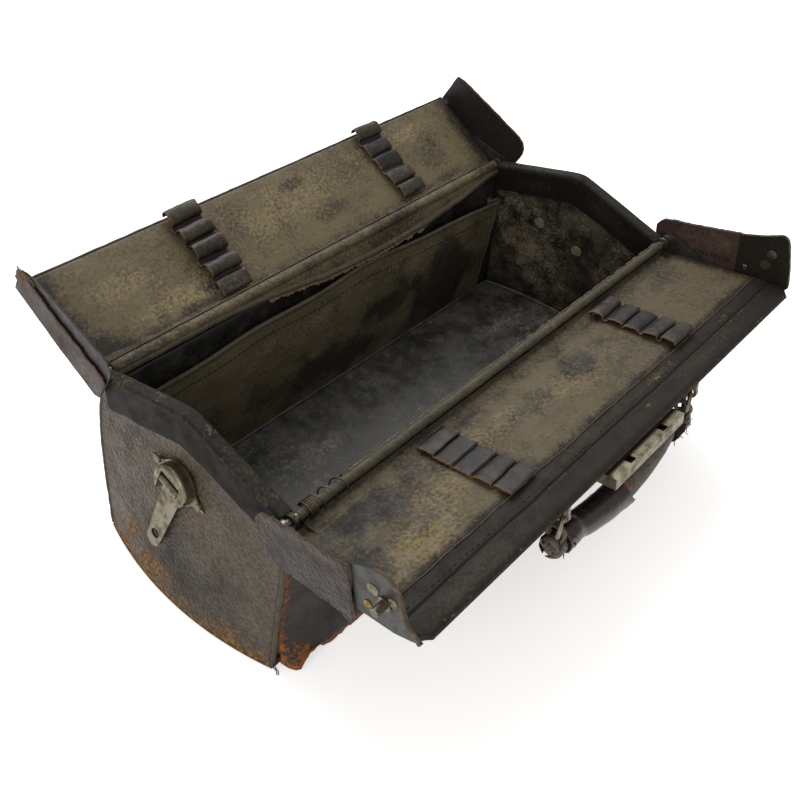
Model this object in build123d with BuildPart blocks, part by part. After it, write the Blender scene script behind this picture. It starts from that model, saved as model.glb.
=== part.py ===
from build123d import *

import os
from math import cos, pi, radians, sin, sqrt

os.makedirs("parts", exist_ok=True)

# A doctor's leather satchel, lying open: a long body with gabled ends and two lids on steel rods.
# X runs along the bag, +Y to the rear, +Z up. The origin is the middle of the underside.

# Body, in millimetres
top_length = 402.0
flare = 12.5
end_bulge = 12.0
flare_height = 104.0
body_width = 160.0
hinge_height = 129.6
rod_outset = 1.0
gable_rise = 22.4
apex_radius = 30.0
corner_gap = 3.2

# Sheet thicknesses
trim_leather = 1.0
wall_leather = 2.0
board = 3.0
lining_cloth = 1.0
base_leather = 2.0

# Trim band and steel strip along each gable
trim_depth = 25.0
trim_inner_depth = 22.0
strip_depth = 10.0

# Hinge rods, their wrap of leather and the wire bound round the front one
rod_radius = 2.5
rod_head_radius = 4.0
rod_head = 1.2
running_fit = 0.05
piping_radius = 4.5
corner_piping_radius = 1.7
binding_wire_radius = 0.5
binding_start = -187.0
binding_turns = 4
binding_pitch = 1.5
loose_turns = 3
loose_pitch = 9.0

# Lids: how far each stands above level when open, and how steep it lies when shut
rear_open = 30.5
front_open = 10.0
rear_shut = 13.5
front_shut = 12.5
plate_steel = 1.6
plate_foot = 34.0
plate_foot_height = 4.0
plate_eye = 6.0
flange_leather = 2.0
lid_leather = 2.0
lid_gap = 0.2
rear_skin = -12.5
front_lid_cover = 84.0
rear_depth = body_width - front_lid_cover
rear_board = 1.5
rear_pad_edge = -7.4
rear_pad_crown = -6.2
edge_piping_radius = 1.3
front_skin = -16.5
front_depth = 99.6
front_board = 3.0
front_crease = 73.0
front_pad_edge = -8.8
front_pad_crown = -7.2
frame_rise = 3.4
groove_place = 83.5
groove_width = 1.2
groove_depth = 0.8
end_plate_near = 56.0
left_plate_height = 15.0
right_plate_height = 20.0

# Strap loops for vials
loops_per_strap = 5
strap_width = 28.0
strap_leather = 1.5
strap_base = 1.0
rear_strap_x = (-82.0, 104.0)
front_strap_x = (-92.0, 95.0)
rear_loop_first = 17.0
rear_loop_pitch = 13.4
rear_loop_radius = 6.3
rear_loop_leg = 1.6
front_loop_first = 12.0
front_loop_pitch = 14.4
front_loop_width = 6.7
front_loop_height = 5.2
front_loop_leg = 1.9

# Pocket on the rear wall
pocket_height = 102.0
pocket_foot = 8.0
pocket_mouth = 10.5
pocket_leather = 1.4
pocket_half_length = 183.0
pocket_binding_radius = 1.6

# End clasps: a plate with two ears, a raised horseshoe, and a hasp on a pin
clasp_y = 8.0
clasp_z = 94.0
clasp_lean = 12.0
clasp_turn = 15.0
clasp_stand_off = 0.9
clasp_plate = 1.2
clasp_width = 31.0
clasp_length = 29.0
plate_border = 1.0
horseshoe_height = 9.0
horseshoe_rounding = 3.0
horseshoe_slot = 17.4
horseshoe_slot_rise = 6.8
ear_reach = 25.0
ear_root = 7.5
ear_waist = (17.0, 3.6)
ear_tip = 0.6
ear_rivet = 20.0
rivet_radius = 1.4
rivet_head = 2.4
rivet_head_height = 1.0
washer_radius = 4.8
washer = 1.2
pin_height = 6.5
pin_radius = 1.2
pin_half_length = 13.5
barrel_radius = 2.6
hasp_width = 16.0
hasp_tip_width = 12.0
hasp_length = 62.0
hasp_hole_place = 51.0
hasp_hole_radius = 3.5
hasp_sheet = 1.6
hasp_clear = 0.3
hasp_raised = 168.0
stud_radius = 2.6
stud_neck = 1.6
stud_collar = 4.2
stud_collar_height = 1.0
stud_peen = 3.6
stud_peen_height = 0.6
stud_reach = 7.8

# Lock on the front lid, staples on the rear lid
lock_x = -5.0
lock_plate_half = 78.0
lock_plate_steel = 1.6
lock_plate_near = 85.0
lock_plate_far = 97.6
lock_case_half = 40.0
lock_case_near = 86.0
lock_case_far = 106.6
lock_case_height = 8.0
lock_sheet = 1.2
lock_slot_spread = 38.0
lock_slot_width = 6.0
lock_travel = 7.0
staple_steel = 2.0
staple_near = 100.5
staple_far = 105.0
staple_plate_half = 28.0
staple_plate_steel = 1.2
staple_border = 3.0
bolt_half_length = 30.0
bolt_setback = 6.0
bolt_lift = 1.5
bolt_width = 4.0
bolt_height = 2.2
finger_length = 6.8
finger_root = 2.4
finger_near = 101.7
finger_far = 103.7
finger_clear = 0.4
knob_neck = 1.4
knob_neck_length = 3.7
knob_radius = 2.6
knob_height = 1.6

# Carrying handle
eye_spread = 150.0
eye_place = 93.5
eye_drop = 8.5
eye_radius = 5.0
lug_half_width = 4.5
eye_bore = 2.7
eye_steel = 2.5
ring_radius = 8.0
ring_wire_radius = 1.4
ring_turn = 30.0
grip_drop = 12.0
grip_end_half = 80.0
grip_end_radius = 6.2
grip_middle_radius = 8.0
grip_sag = 5.0
tab_radius = 5.2
tab_half_width = 4.7
tab_leather = 3.2
cover_leather = 1.6
cover_start = -57.0
cover_end = -2.0
thread_radius = 0.8
thread_pitch = 2.05
thread_turns = 6
thread_start = 59.0

# Distances from the middle of the bag to each layer of an end, above the flare
trim_outer = top_length / 2
wall_outer = trim_outer - trim_leather
board_outer = wall_outer - wall_leather
lining_outer = board_outer - board
end_inner = lining_outer - lining_cloth
trim_inner = end_inner - trim_leather

half_width = body_width / 2
hinge_y = half_width + rod_outset
end_half_width = half_width - wall_leather - lining_cloth
slope = gable_rise / hinge_y
wall_top = hinge_height - piping_radius - 2 * binding_wire_radius - 2 * lid_gap
floor_top = base_leather + board + lining_cloth
LEFT, RIGHT = -1, 1
FRONT, REAR = -1, 1


def finish(piece, name):
    """Name a finished piece and write it out."""
    piece.part.label = name
    export_step(piece.part, f"parts/{name}.step")


def flare_at(z):
    """How far an end wall stands out at height z, at its corners."""
    return flare * max(0.0, 1 - z / flare_height)


def bulge_at(z):
    """How far the middle of an end wall bows out past its corners at height z."""
    return end_bulge * max(0.0, 1 - z / flare_height)


def gable_face(half, low, drop):
    """The outline of an end across the bag, its sloping top lowered by drop."""
    apex = hinge_height + gable_rise - drop
    edge = apex - slope * half
    with BuildSketch() as outline:
        with BuildLine():
            Polyline((-half, low), (half, low), (half, edge), (0, apex), (-half, edge), close=True)
        make_face()
        fillet(outline.vertices().sort_by(Axis.Y)[-1], radius=apex_radius)
    return outline.sketch


def bowed_plan(half_length, bulge, half):
    """A plan outline whose two ends bow outwards."""
    with BuildSketch() as plan:
        with BuildLine():
            Line((-half_length, -half), (half_length, -half))
            ThreePointArc((half_length, -half), (half_length + bulge, 0), (half_length, half))
            Line((half_length, half), (-half_length, half))
            ThreePointArc((-half_length, half), (-half_length - bulge, 0), (-half_length, -half))
        make_face()
    return plan.sketch


def end_strip(side, outer, thickness, bulge):
    """The plan of one end layer at one height, its middle bowed out by bulge."""
    outer_x = side * outer
    inner_x = side * (outer - thickness)
    half = end_half_width
    with BuildSketch() as strip:
        with BuildLine():
            Line((inner_x, -half), (outer_x, -half))
            Line((outer_x, half), (inner_x, half))
            if bulge > 0:
                ThreePointArc((outer_x, -half), (outer_x + side * bulge, 0), (outer_x, half))
                ThreePointArc((inner_x, half), (inner_x + side * bulge, 0), (inner_x, -half))
            else:
                Line((outer_x, -half), (outer_x, half))
                Line((inner_x, half), (inner_x, -half))
        make_face()
    return strip.sketch


def clasp_plane(side, height=0.0):
    """The clasp's own plane: x across it, y up it and z out of the end wall."""
    lean = radians(clasp_lean)
    turn = radians(clasp_turn)
    out = Vector(side * cos(lean), 0, sin(lean))
    level = Vector(0, side, 0)
    rise = Vector(-side * sin(lean), 0, cos(lean))
    across = level * cos(turn) + rise * (side * sin(turn))
    wall_x = wall_outer + flare_at(clasp_z) + bulge_at(clasp_z) + clasp_stand_off
    return Plane(origin=(side * wall_x, clasp_y, clasp_z), x_dir=across, z_dir=out).offset(height)


def end_layer(side, outer, thickness, drop, name):
    """One layer of an end wall, flared and bowed low down and flat in its gable."""
    with BuildPart() as layer:
        with BuildSketch(Plane.XY):
            add(end_strip(side, outer + flare, thickness, end_bulge))
        with BuildSketch(Plane.XY.offset(flare_height)):
            add(end_strip(side, outer, thickness, 0.0))
        loft(ruled=True)
        with BuildSketch(Plane.XY.offset(flare_height)):
            add(end_strip(side, outer, thickness, 0.0))
        extrude(amount=hinge_height + gable_rise - flare_height)
        with BuildSketch(Plane.YZ):
            add(gable_face(end_half_width, base_leather, drop))
        extrude(amount=top_length, both=True, mode=Mode.INTERSECT)
        with BuildSketch(clasp_plane(side)):
            with Locations((-ear_rivet, 0), (ear_rivet, 0)):
                Circle(rivet_radius + hasp_clear)
        extrude(amount=4 * wall_leather + board, both=True, mode=Mode.SUBTRACT)
    finish(layer, name)


def gable_frame(side, name):
    """The steel strip under the gable trim, with an eye for each rod."""
    rods = ((-hinge_y, hinge_height), (hinge_y, hinge_height))
    start = lining_outer if side > 0 else -board_outer
    with BuildPart() as frame:
        with BuildSketch(Plane.YZ.offset(start)):
            add(gable_face(end_half_width, base_leather, 0.0))
            add(gable_face(end_half_width + corner_gap, 0.0, strip_depth), mode=Mode.SUBTRACT)
            with Locations(*rods):
                Circle(piping_radius)
                Circle(rod_radius + running_fit, mode=Mode.SUBTRACT)
        extrude(amount=board)
    finish(frame, name)


def gable_trim(side, name):
    """The leather band folded over a gable: an outer skin, a top and an inner skin."""
    rods = ((-hinge_y, hinge_height), (hinge_y, hinge_height))
    skins = (
        (min(side * wall_outer, side * trim_outer), trim_leather, trim_depth),
        (min(side * end_inner, side * wall_outer), wall_outer - end_inner, 0.0),
        (min(side * trim_inner, side * end_inner), trim_leather, trim_inner_depth),
    )
    with BuildPart() as trim:
        for start, thickness, depth in skins:
            with BuildSketch(Plane.YZ.offset(start)):
                add(gable_face(end_half_width, base_leather, -trim_leather))
                add(gable_face(end_half_width + corner_gap, 0.0, depth), mode=Mode.SUBTRACT)
                with Locations(*rods):
                    Circle(piping_radius + lid_gap, mode=Mode.SUBTRACT)
            extrude(amount=thickness)
    finish(trim, name)


# Base
with BuildPart() as base_cover:
    with BuildSketch(Plane.XY):
        add(bowed_plan(wall_outer + flare, end_bulge, half_width))
    extrude(amount=base_leather)
finish(base_cover, "base_cover")

floor_length = end_inner + flare_at(floor_top) - lid_gap
with BuildPart() as base_board:
    with BuildSketch(Plane.XY.offset(base_leather)):
        add(bowed_plan(floor_length, bulge_at(floor_top), end_half_width - lid_gap))
    extrude(amount=board)
finish(base_board, "base_board")

with BuildPart() as floor_lining:
    with BuildSketch(Plane.XY.offset(base_leather + board)):
        add(bowed_plan(floor_length, bulge_at(floor_top), end_half_width - lid_gap))
    extrude(amount=lining_cloth)
finish(floor_lining, "floor_lining")


def side_sheet(outer_y, thickness, top_half, low, name):
    """A front or rear sheet, as wide at each height as the ends leave it."""
    with BuildPart() as sheet:
        with BuildSketch(Plane.XZ.offset(-outer_y)):
            with BuildLine():
                Polyline(
                    (-top_half - flare_at(low), low),
                    (top_half + flare_at(low), low),
                    (top_half, flare_height),
                    (top_half, wall_top),
                    (-top_half, wall_top),
                    (-top_half, flare_height),
                    close=True,
                )
            make_face()
        extrude(amount=thickness if outer_y > 0 else -thickness)
    finish(sheet, name)


# Front and rear walls with their linings
for place, side in (("front", FRONT), ("rear", REAR)):
    side_sheet(side * half_width, wall_leather, wall_outer - corner_gap, base_leather, f"{place}_wall")
    side_sheet(
        side * (half_width - wall_leather), lining_cloth, end_inner - lid_gap, floor_top, f"{place}_lining"
    )

# End walls, their boards, linings, strips and trims
for place, side in (("left", LEFT), ("right", RIGHT)):
    end_layer(side, wall_outer, wall_leather, 0.0, f"{place}_end_wall")
    board_face = board_outer - lid_gap / 2
    end_layer(side, board_face, board - lid_gap, strip_depth + lid_gap, f"{place}_end_board")
    end_layer(side, lining_outer, lining_cloth, 0.0, f"{place}_end_lining")
    gable_frame(side, f"{place}_gable_frame")
    gable_trim(side, f"{place}_gable_trim")


# Beads sewn into the four upright corners
with BuildPart() as corner_piping:
    for side_x in (LEFT, RIGHT):
        for side_y in (FRONT, REAR):
            bead_x = wall_outer - corner_gap + corner_piping_radius + lid_gap
            bead_y = side_y * (end_half_width + corner_piping_radius + lid_gap)
            low = base_leather + corner_piping_radius
            with BuildLine() as path:
                FilletPolyline(
                    (side_x * (bead_x + flare_at(low)), bead_y, low),
                    (side_x * bead_x, bead_y, flare_height),
                    (side_x * bead_x, bead_y, wall_top - piping_radius),
                    radius=trim_depth,
                )
            with BuildSketch(Plane(origin=path.line @ 0, z_dir=path.line % 0)):
                Circle(corner_piping_radius)
            sweep(path=path.line)
finish(corner_piping, "corner_piping")


# Hinge rods: each passes through both gable eyes and both hinge plates of its lid
def hinge_rod(side_y, plate_start, name):
    """A rod with peened heads; a shoulder fills any space between gable and plate."""
    head_start = plate_start + plate_steel + lid_gap
    centre = (side_y * hinge_y, hinge_height)
    with BuildPart() as rod:
        with BuildSketch(Plane.YZ):
            with Locations(centre):
                Circle(rod_radius)
        extrude(amount=head_start, both=True)
        for side_x in (LEFT, RIGHT):
            with BuildSketch(Plane.YZ.offset(side_x * head_start)):
                with Locations(centre):
                    Circle(rod_head_radius)
            extrude(amount=side_x * rod_head)
            shoulder = plate_start - trim_outer - 2 * lid_gap
            if shoulder > lid_gap:
                with BuildSketch(Plane.YZ.offset(side_x * (trim_outer + lid_gap))):
                    with Locations(centre):
                        Circle(rod_head_radius)
                extrude(amount=side_x * shoulder)
        edges = rod.faces().sort_by(Axis.X)
        fillet(edges[0].edges(), radius=rod_head / 2)
        fillet(edges[-1].edges(), radius=rod_head / 2)
    finish(rod, name)


rear_plate_start = trim_outer + 2 * lid_gap
rear_flange_start = rear_plate_start + plate_steel + lid_gap
front_plate_start = rear_flange_start + flange_leather
front_flange_start = front_plate_start + plate_steel + lid_gap
hinge_rod(REAR, rear_plate_start, "rear_hinge_rod")
hinge_rod(FRONT, front_plate_start, "front_hinge_rod")

for place, side in (("front", FRONT), ("rear", REAR)):
    with BuildPart() as rod_piping:
        with BuildSketch(Plane.YZ):
            with Locations((side * hinge_y, hinge_height)):
                Circle(piping_radius)
                Circle(rod_radius + lid_gap / 2, mode=Mode.SUBTRACT)
        extrude(amount=trim_inner - lid_gap, both=True)
    finish(rod_piping, f"{place}_rod_piping")


def helix_point(radius, angle, advance):
    """A point on a winding about X and the direction it runs in there."""
    point = Vector(advance[0], radius * cos(angle), radius * sin(angle))
    way = Vector(advance[1], -radius * sin(angle), radius * cos(angle)).normalized()
    return point, way


def winding_path(radius, pitches):
    """A winding about X as pairs of tangent arcs, a quarter turn to each pair."""
    along = 0.0
    knots = []
    quarters = [pitch for pitch in pitches for quarter in range(4)]
    for index, pitch in enumerate(quarters):
        before = quarters[max(index - 1, 0)]
        knots.append(helix_point(radius, index * pi / 2, (along, (pitch + before) / (4 * pi))))
        along += pitch / 4
    knots.append(helix_point(radius, len(quarters) * pi / 2, (along, quarters[-1] / (2 * pi))))
    with BuildLine() as path:
        for (start, start_way), (end, end_way) in zip(knots, knots[1:]):
            chord = end - start
            ways = start_way + end_way
            spread = 2 * (1 - start_way.dot(end_way))
            reach = (sqrt(chord.dot(ways) ** 2 + spread * chord.dot(chord)) - chord.dot(ways)) / spread
            middle = (start + end + (start_way - end_way) * reach) * 0.5
            middle_way = (end - end_way * reach - start - start_way * reach).normalized()
            TangentArc(start, middle, tangent=start_way)
            TangentArc(middle, end, tangent=middle_way)
    return path.line


def least_gap(radius, pitches, wire_radius):
    """The least clear space between neighbouring turns of a winding."""
    steps = 24
    points = []
    along = 0.0
    for pitch in pitches:
        for step in range(steps):
            points.append(helix_point(radius, 2 * pi * step / steps, (along, pitch))[0])
            along += pitch / steps
    gaps = [
        (points[later] - points[first]).length
        for first in range(len(points))
        for later in range(first + steps // 2, len(points))
    ]
    return min(gaps) - 2 * wire_radius


# Wire bound round the left end of the front rod, tight at first and then loose
binding_pitches = [binding_pitch] * binding_turns + [loose_pitch] * loose_turns
binding_radius = piping_radius + binding_wire_radius + lid_gap
binding_path = winding_path(binding_radius, binding_pitches)
print("rod binding, least gap", round(least_gap(binding_radius, binding_pitches, binding_wire_radius), 2))
with BuildPart() as rod_binding:
    with BuildSketch(Plane(origin=binding_path @ 0, z_dir=binding_path % 0)):
        Circle(binding_wire_radius)
    sweep(path=binding_path)
rod_binding.part = rod_binding.part.moved(Location((binding_start, -hinge_y, hinge_height)))
finish(rod_binding, "rod_binding")

# Pocket: a leather panel leaning off the rear wall, with a bead along its mouth
wall_face = half_width - wall_leather - lining_cloth
pocket_top_y = wall_face - pocket_mouth
pocket_foot_y = wall_face - lid_gap - pocket_leather
with BuildPart() as pocket_panel:
    with BuildSketch(Plane.YZ):
        with BuildLine():
            Polyline(
                (pocket_foot_y, pocket_foot),
                (pocket_foot_y + pocket_leather, pocket_foot),
                (pocket_top_y + pocket_leather, pocket_height),
                (pocket_top_y, pocket_height),
                close=True,
            )
        make_face()
        with Locations((pocket_top_y + pocket_leather / 2, pocket_height)):
            Circle(pocket_binding_radius)
    extrude(amount=pocket_half_length, both=True)
finish(pocket_panel, "pocket_panel")

with BuildPart() as pocket_gussets:
    for side in (LEFT, RIGHT):
        with BuildSketch(Plane.YZ.offset(side * (pocket_half_length + lid_gap))):
            with BuildLine():
                Polyline(
                    (pocket_foot_y, pocket_foot),
                    (wall_face - lid_gap, pocket_foot),
                    (wall_face - lid_gap, pocket_height),
                    (pocket_top_y, pocket_height),
                    close=True,
                )
            make_face()
        extrude(amount=side * pocket_leather)
finish(pocket_gussets, "pocket_gussets")


# End clasps
for place, side in (("left", LEFT), ("right", RIGHT)):
    with BuildPart() as clasp:
        with BuildSketch(clasp_plane(side)):
            Ellipse(clasp_width / 2, clasp_length / 2)
            for hand in (-1, 1):
                with BuildLine():
                    inner = hand * pin_half_length
                    outer = hand * ear_reach
                    waist, half_waist = hand * ear_waist[0], ear_waist[1]
                    ThreePointArc((inner, ear_root), (waist, half_waist), (outer, ear_tip))
                    Line((outer, ear_tip), (outer, -ear_tip))
                    ThreePointArc((outer, -ear_tip), (waist, -half_waist), (inner, -ear_root))
                    Line((inner, -ear_root), (inner, ear_root))
                make_face()
            with Locations((-ear_rivet, 0), (ear_rivet, 0)):
                Circle(rivet_radius, mode=Mode.SUBTRACT)
        extrude(amount=clasp_plate)
        with BuildSketch(clasp_plane(side, clasp_plate)):
            Ellipse(clasp_width / 2 - plate_border, clasp_length / 2 - plate_border)
            Rectangle(horseshoe_slot, 2 * horseshoe_slot_rise, mode=Mode.SUBTRACT)
            with Locations((0, -clasp_length / 2)):
                Rectangle(horseshoe_slot, clasp_length, mode=Mode.SUBTRACT)
        extrude(amount=horseshoe_height - clasp_plate)
        crown = clasp.faces().filter_by(GeomType.PLANE).sort_by(Axis((0, 0, 0), clasp_plane(side).z_dir))[-1]
        fillet(crown.edges().filter_by(GeomType.LINE, reverse=True), radius=horseshoe_rounding)
        pin_line = clasp_plane(side, pin_height)
        with BuildSketch(Plane(origin=pin_line.origin, z_dir=pin_line.x_dir)):
            Circle(pin_radius)
        extrude(amount=clasp_width, both=True, mode=Mode.SUBTRACT)
    finish(clasp, f"{place}_clasp")

    pin_across = Plane(origin=pin_line.origin, x_dir=pin_line.y_dir, z_dir=pin_line.x_dir)
    root = clasp_plate + hasp_clear - pin_height
    hole_depth = root + hasp_sheet / 2
    with BuildPart() as hasp:
        # Side view: a knuckle round the pin, a crank towards the wall and a flat tongue
        with BuildSketch(pin_across):
            Circle(barrel_radius)
            with BuildLine():
                Polyline(
                    (-barrel_radius, 0),
                    (-barrel_radius, root + hasp_sheet),
                    (-hasp_length, root + hasp_sheet),
                    (-hasp_length, root),
                    (-barrel_radius + hasp_sheet, root),
                    (-barrel_radius + hasp_sheet, 0),
                    close=True,
                )
            make_face()
            Circle(pin_radius + running_fit, mode=Mode.SUBTRACT)
        extrude(amount=hasp_width / 2, both=True)
        # Front view: parallel at the knuckle, tapering to a round tip with a hole
        with BuildSketch(pin_line):
            tip = hasp_length - hasp_tip_width / 2
            with BuildLine():
                Polyline(
                    (-hasp_width / 2, barrel_radius),
                    (hasp_width / 2, barrel_radius),
                    (hasp_width / 2, -clasp_length / 2),
                    (hasp_tip_width / 2, -tip),
                    (-hasp_tip_width / 2, -tip),
                    (-hasp_width / 2, -clasp_length / 2),
                    close=True,
                )
            make_face()
            with Locations((0, -tip)):
                Circle(hasp_tip_width / 2)
            with Locations((0, -hasp_hole_place)):
                Circle(hasp_hole_radius, mode=Mode.SUBTRACT)
        extrude(amount=pin_height, both=True, mode=Mode.INTERSECT)
    finish(hasp, f"{place}_hasp")

with BuildPart() as hasp_pins:
    for side in (LEFT, RIGHT):
        pin_line = clasp_plane(side, pin_height)
        with BuildSketch(Plane(origin=pin_line.origin, z_dir=pin_line.x_dir)):
            Circle(pin_radius)
        extrude(amount=pin_half_length, both=True)
finish(hasp_pins, "hasp_pins")

# Rivets through the ears, closed on washers inside the bag
layers = wall_leather + board + lining_cloth
washer_start = clasp_stand_off + layers + 2 * lid_gap
with BuildPart() as clasp_rivets:
    for side in (LEFT, RIGHT):
        for hand in (-1, 1):
            for start, amount, radius in (
                (clasp_plate, -clasp_plate - washer_start, rivet_radius),
                (clasp_plate, rivet_head_height, rivet_head),
                (-washer_start, -washer, washer_radius),
            ):
                with BuildSketch(clasp_plane(side, start)):
                    with Locations((hand * ear_rivet, 0)):
                        Circle(radius)
                extrude(amount=amount)
finish(clasp_rivets, "clasp_rivets")


# Lids
open_angle = {REAR: rear_open, FRONT: front_open}


def lid_axes(side, angle):
    """Directions in (y, z) along a lid away from its rod, and up into the bag when open."""
    return (side * cos(angle), sin(angle)), (-side * sin(angle), cos(angle))


def lid_section(side, x):
    """The plane across a lid at x: x_dir along the lid, y_dir to its inner side."""
    along, inward = lid_axes(side, radians(open_angle[side]))
    return Plane(origin=(x, side * hinge_y, hinge_height), x_dir=(0, *along), z_dir=(side, 0, 0))


def lid_face(side, depth):
    """The plane parallel to a lid at depth on its inner side, facing outwards."""
    along, inward = lid_axes(side, radians(open_angle[side]))
    origin = (0, side * hinge_y + depth * inward[0], hinge_height + depth * inward[1])
    return Plane(origin=origin, x_dir=(-side, 0, 0), z_dir=(0, -inward[0], -inward[1]))


def shut_front_to_rear(place, depth):
    """A point on the shut front lid, in the lengthwise and inward measures of the shut rear lid."""
    along, inward = lid_axes(FRONT, radians(180 - front_shut))
    y = -hinge_y + place * along[0] + depth * inward[0]
    z = hinge_height + place * along[1] + depth * inward[1]
    along, inward = lid_axes(REAR, radians(180 - rear_shut))
    y -= hinge_y
    z -= hinge_height
    return (y * along[0] + z * along[1], y * inward[0] + z * inward[1])


def outline_face(points, hole=0.0):
    """A filled outline, with an optional hole round the rod."""
    with BuildSketch() as outline:
        with BuildLine():
            Polyline(*points, close=True)
        make_face()
        if hole:
            Circle(hole, mode=Mode.SUBTRACT)
    return outline.sketch


def pad_face(near, far, back, edge, crown):
    """The section of a padded lining: flat behind, crowned in front."""
    with BuildSketch() as outline:
        with BuildLine():
            Polyline((near, edge), (near, back), (far, back), (far, edge))
            ThreePointArc((far, edge), ((near + far) / 2, crown), (near, edge))
        make_face()
    return outline.sketch


def lid_bar(side, face, low, high, name):
    """A lid piece of one section, from low to high along X."""
    with BuildPart() as bar:
        with BuildSketch(lid_section(side, low if side > 0 else high)):
            add(face)
        extrude(amount=high - low)
    finish(bar, name)


def lid_pair(side, face, start, thickness, name):
    """Two equal pieces, one at each end of a lid."""
    with BuildPart() as pair:
        for end in (LEFT, RIGHT):
            near = start if end == side else start + thickness
            with BuildSketch(lid_section(side, end * near)):
                add(face)
            extrude(amount=thickness)
    finish(pair, name)


def block(near, far, low, high):
    """A rectangular section."""
    return outline_face(((near, low), (far, low), (far, high), (near, high)))


def hinge_plate_face(low):
    """A hinge plate: an eye round the rod and a foot along the lid."""
    with BuildSketch() as outline:
        with BuildLine():
            Polyline(
                (-rod_head_radius, low),
                (plate_foot, low),
                (plate_foot, low + plate_foot_height),
                (plate_eye, plate_foot_height),
                (-rod_head_radius, plate_foot_height),
                close=True,
            )
        make_face()
        Circle(plate_eye)
        Circle(rod_radius + running_fit, mode=Mode.SUBTRACT)
    return outline.sketch


rear_half = rear_plate_start + plate_steel
front_half = front_plate_start + plate_steel
flange_hole = rod_head_radius + 3 * lid_gap

# Rear lid
shell_top = rear_skin + lid_leather
lid_bar(REAR, block(-4.0, rear_depth, rear_skin, shell_top), -rear_half, rear_half, "rear_lid_shell")
board_low = shell_top + lid_gap / 2
board_top = board_low + rear_board
inside = rear_plate_start - lid_gap
lid_bar(REAR, block(0.0, rear_depth - 1, board_low, board_top), -inside, inside, "rear_lid_board")
pad = pad_face(0.5, rear_depth - 0.5, board_top + lid_gap / 2, rear_pad_edge, rear_pad_crown)
lid_bar(REAR, pad, -inside, inside, "rear_lid_lining")
lid_pair(REAR, hinge_plate_face(shell_top + lid_gap), rear_plate_start, plate_steel, "rear_hinge_plates")

with BuildPart() as rear_lid_piping:
    with BuildSketch(lid_section(REAR, -rear_half)):
        with Locations((rear_depth + edge_piping_radius + lid_gap / 2, rear_skin + edge_piping_radius)):
            Circle(edge_piping_radius)
    extrude(amount=2 * rear_half)
finish(rear_lid_piping, "rear_lid_piping")

rear_flange = (
    (-10.0, -5.0),
    (-5.0, rear_skin),
    (rear_depth, rear_skin),
    (rear_depth + 1.5, -9.0),
    (rear_depth + 1.5, 16.5),
    (rear_depth - 1.0, 18.5),
    (2.0, 29.0),
    (-7.0, 26.5),
    (-10.0, 20.0),
)
for place, end in (("left", LEFT), ("right", RIGHT)):
    low = min(end * rear_flange_start, end * (rear_flange_start + flange_leather))
    face = outline_face(rear_flange, flange_hole)
    lid_bar(REAR, face, low, low + flange_leather, f"rear_lid_{place}_flange")

# Front lid
shell_top = front_skin + lid_leather
lid_bar(FRONT, block(-2.0, front_depth, front_skin, shell_top), -front_half, front_half, "front_lid_shell")
board_low = shell_top + lid_gap / 2
board_top = board_low + front_board
inside = front_plate_start - lid_gap
lid_bar(FRONT, block(0.0, front_crease - lid_gap, board_low, board_top), -inside, inside, "front_lid_board")
pad = pad_face(0.5, front_crease - lid_gap, board_top + lid_gap / 2, front_pad_edge, front_pad_crown)
lid_bar(FRONT, pad, -inside, inside, "front_lid_lining")
lid_pair(FRONT, hinge_plate_face(shell_top + lid_gap), front_plate_start, plate_steel, "front_hinge_plates")

frame_near_top = front_pad_edge + lid_gap
frame_fall = frame_rise / (front_depth - front_crease)
frame_points = [(front_crease, board_low), (front_crease, frame_near_top)]
for place, sink in ((0, 0), (0.2, groove_depth), (0.8, groove_depth), (1, 0)):
    u = groove_place + place * groove_width
    frame_points.append((u, frame_near_top - frame_fall * (u - front_crease) - sink))
frame_points.append((front_depth, frame_near_top - frame_rise))
frame_points.append((front_depth, board_low))
lid_bar(FRONT, outline_face(frame_points), -front_half, front_half, "front_lid_frame")

# The left flange hangs torn below the lid; the right one stands a little higher towards its plate.
flange_end = end_plate_near - lid_gap
left_flange = [(-13.0, -6.0), (-13.0, 10.0), (-6.0, 16.0), (flange_end, left_plate_height)]
left_flange += [(flange_end, -23.0), (30.0, -27.0), (-3.0, -26.0), (-8.0, -18.0)]
right_flange = [(-13.0, -6.0), (-13.0, 10.0), (-6.0, 15.5), (23.0, 17.0), (flange_end, right_plate_height)]
right_flange += [(flange_end, front_skin), (-6.0, front_skin)]
# The raised hasp leans back over the stud of the shut front lid.
raised = clasp_plane(RIGHT, pin_height)
hole_up = hasp_hole_place * cos(radians(180 - hasp_raised)) + hole_depth * sin(radians(180 - hasp_raised))
hole_out = hasp_hole_place * sin(radians(180 - hasp_raised)) - hole_depth * cos(radians(180 - hasp_raised))
stud_place = raised.origin + raised.y_dir * hole_up + raised.z_dir * hole_out
stud_y = stud_place.Y
stud_z = stud_place.Z
along, inward = lid_axes(FRONT, radians(180 - front_shut))
stud_u = (stud_y + hinge_y) * along[0] + (stud_z - hinge_height) * along[1]
stud_w = (stud_y + hinge_y) * inward[0] + (stud_z - hinge_height) * inward[1]
left_plate = (
    (end_plate_near, front_skin),
    (82.0, front_skin),
    (93.0, -14.0),
    (front_depth, frame_near_top - frame_rise),
    (91.0, -5.0),
    (88.0, 13.0),
    (82.0, 21.0),
    (72.0, 21.0),
    (end_plate_near, left_plate_height),
)
right_plate = (
    (end_plate_near, front_skin),
    (93.0, front_skin),
    (97.0, -12.0),
    (95.5, 2.0),
    (91.5, 23.5),
    (87.5, 27.5),
    (76.0, 24.0),
    (end_plate_near, right_plate_height),
)
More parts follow.
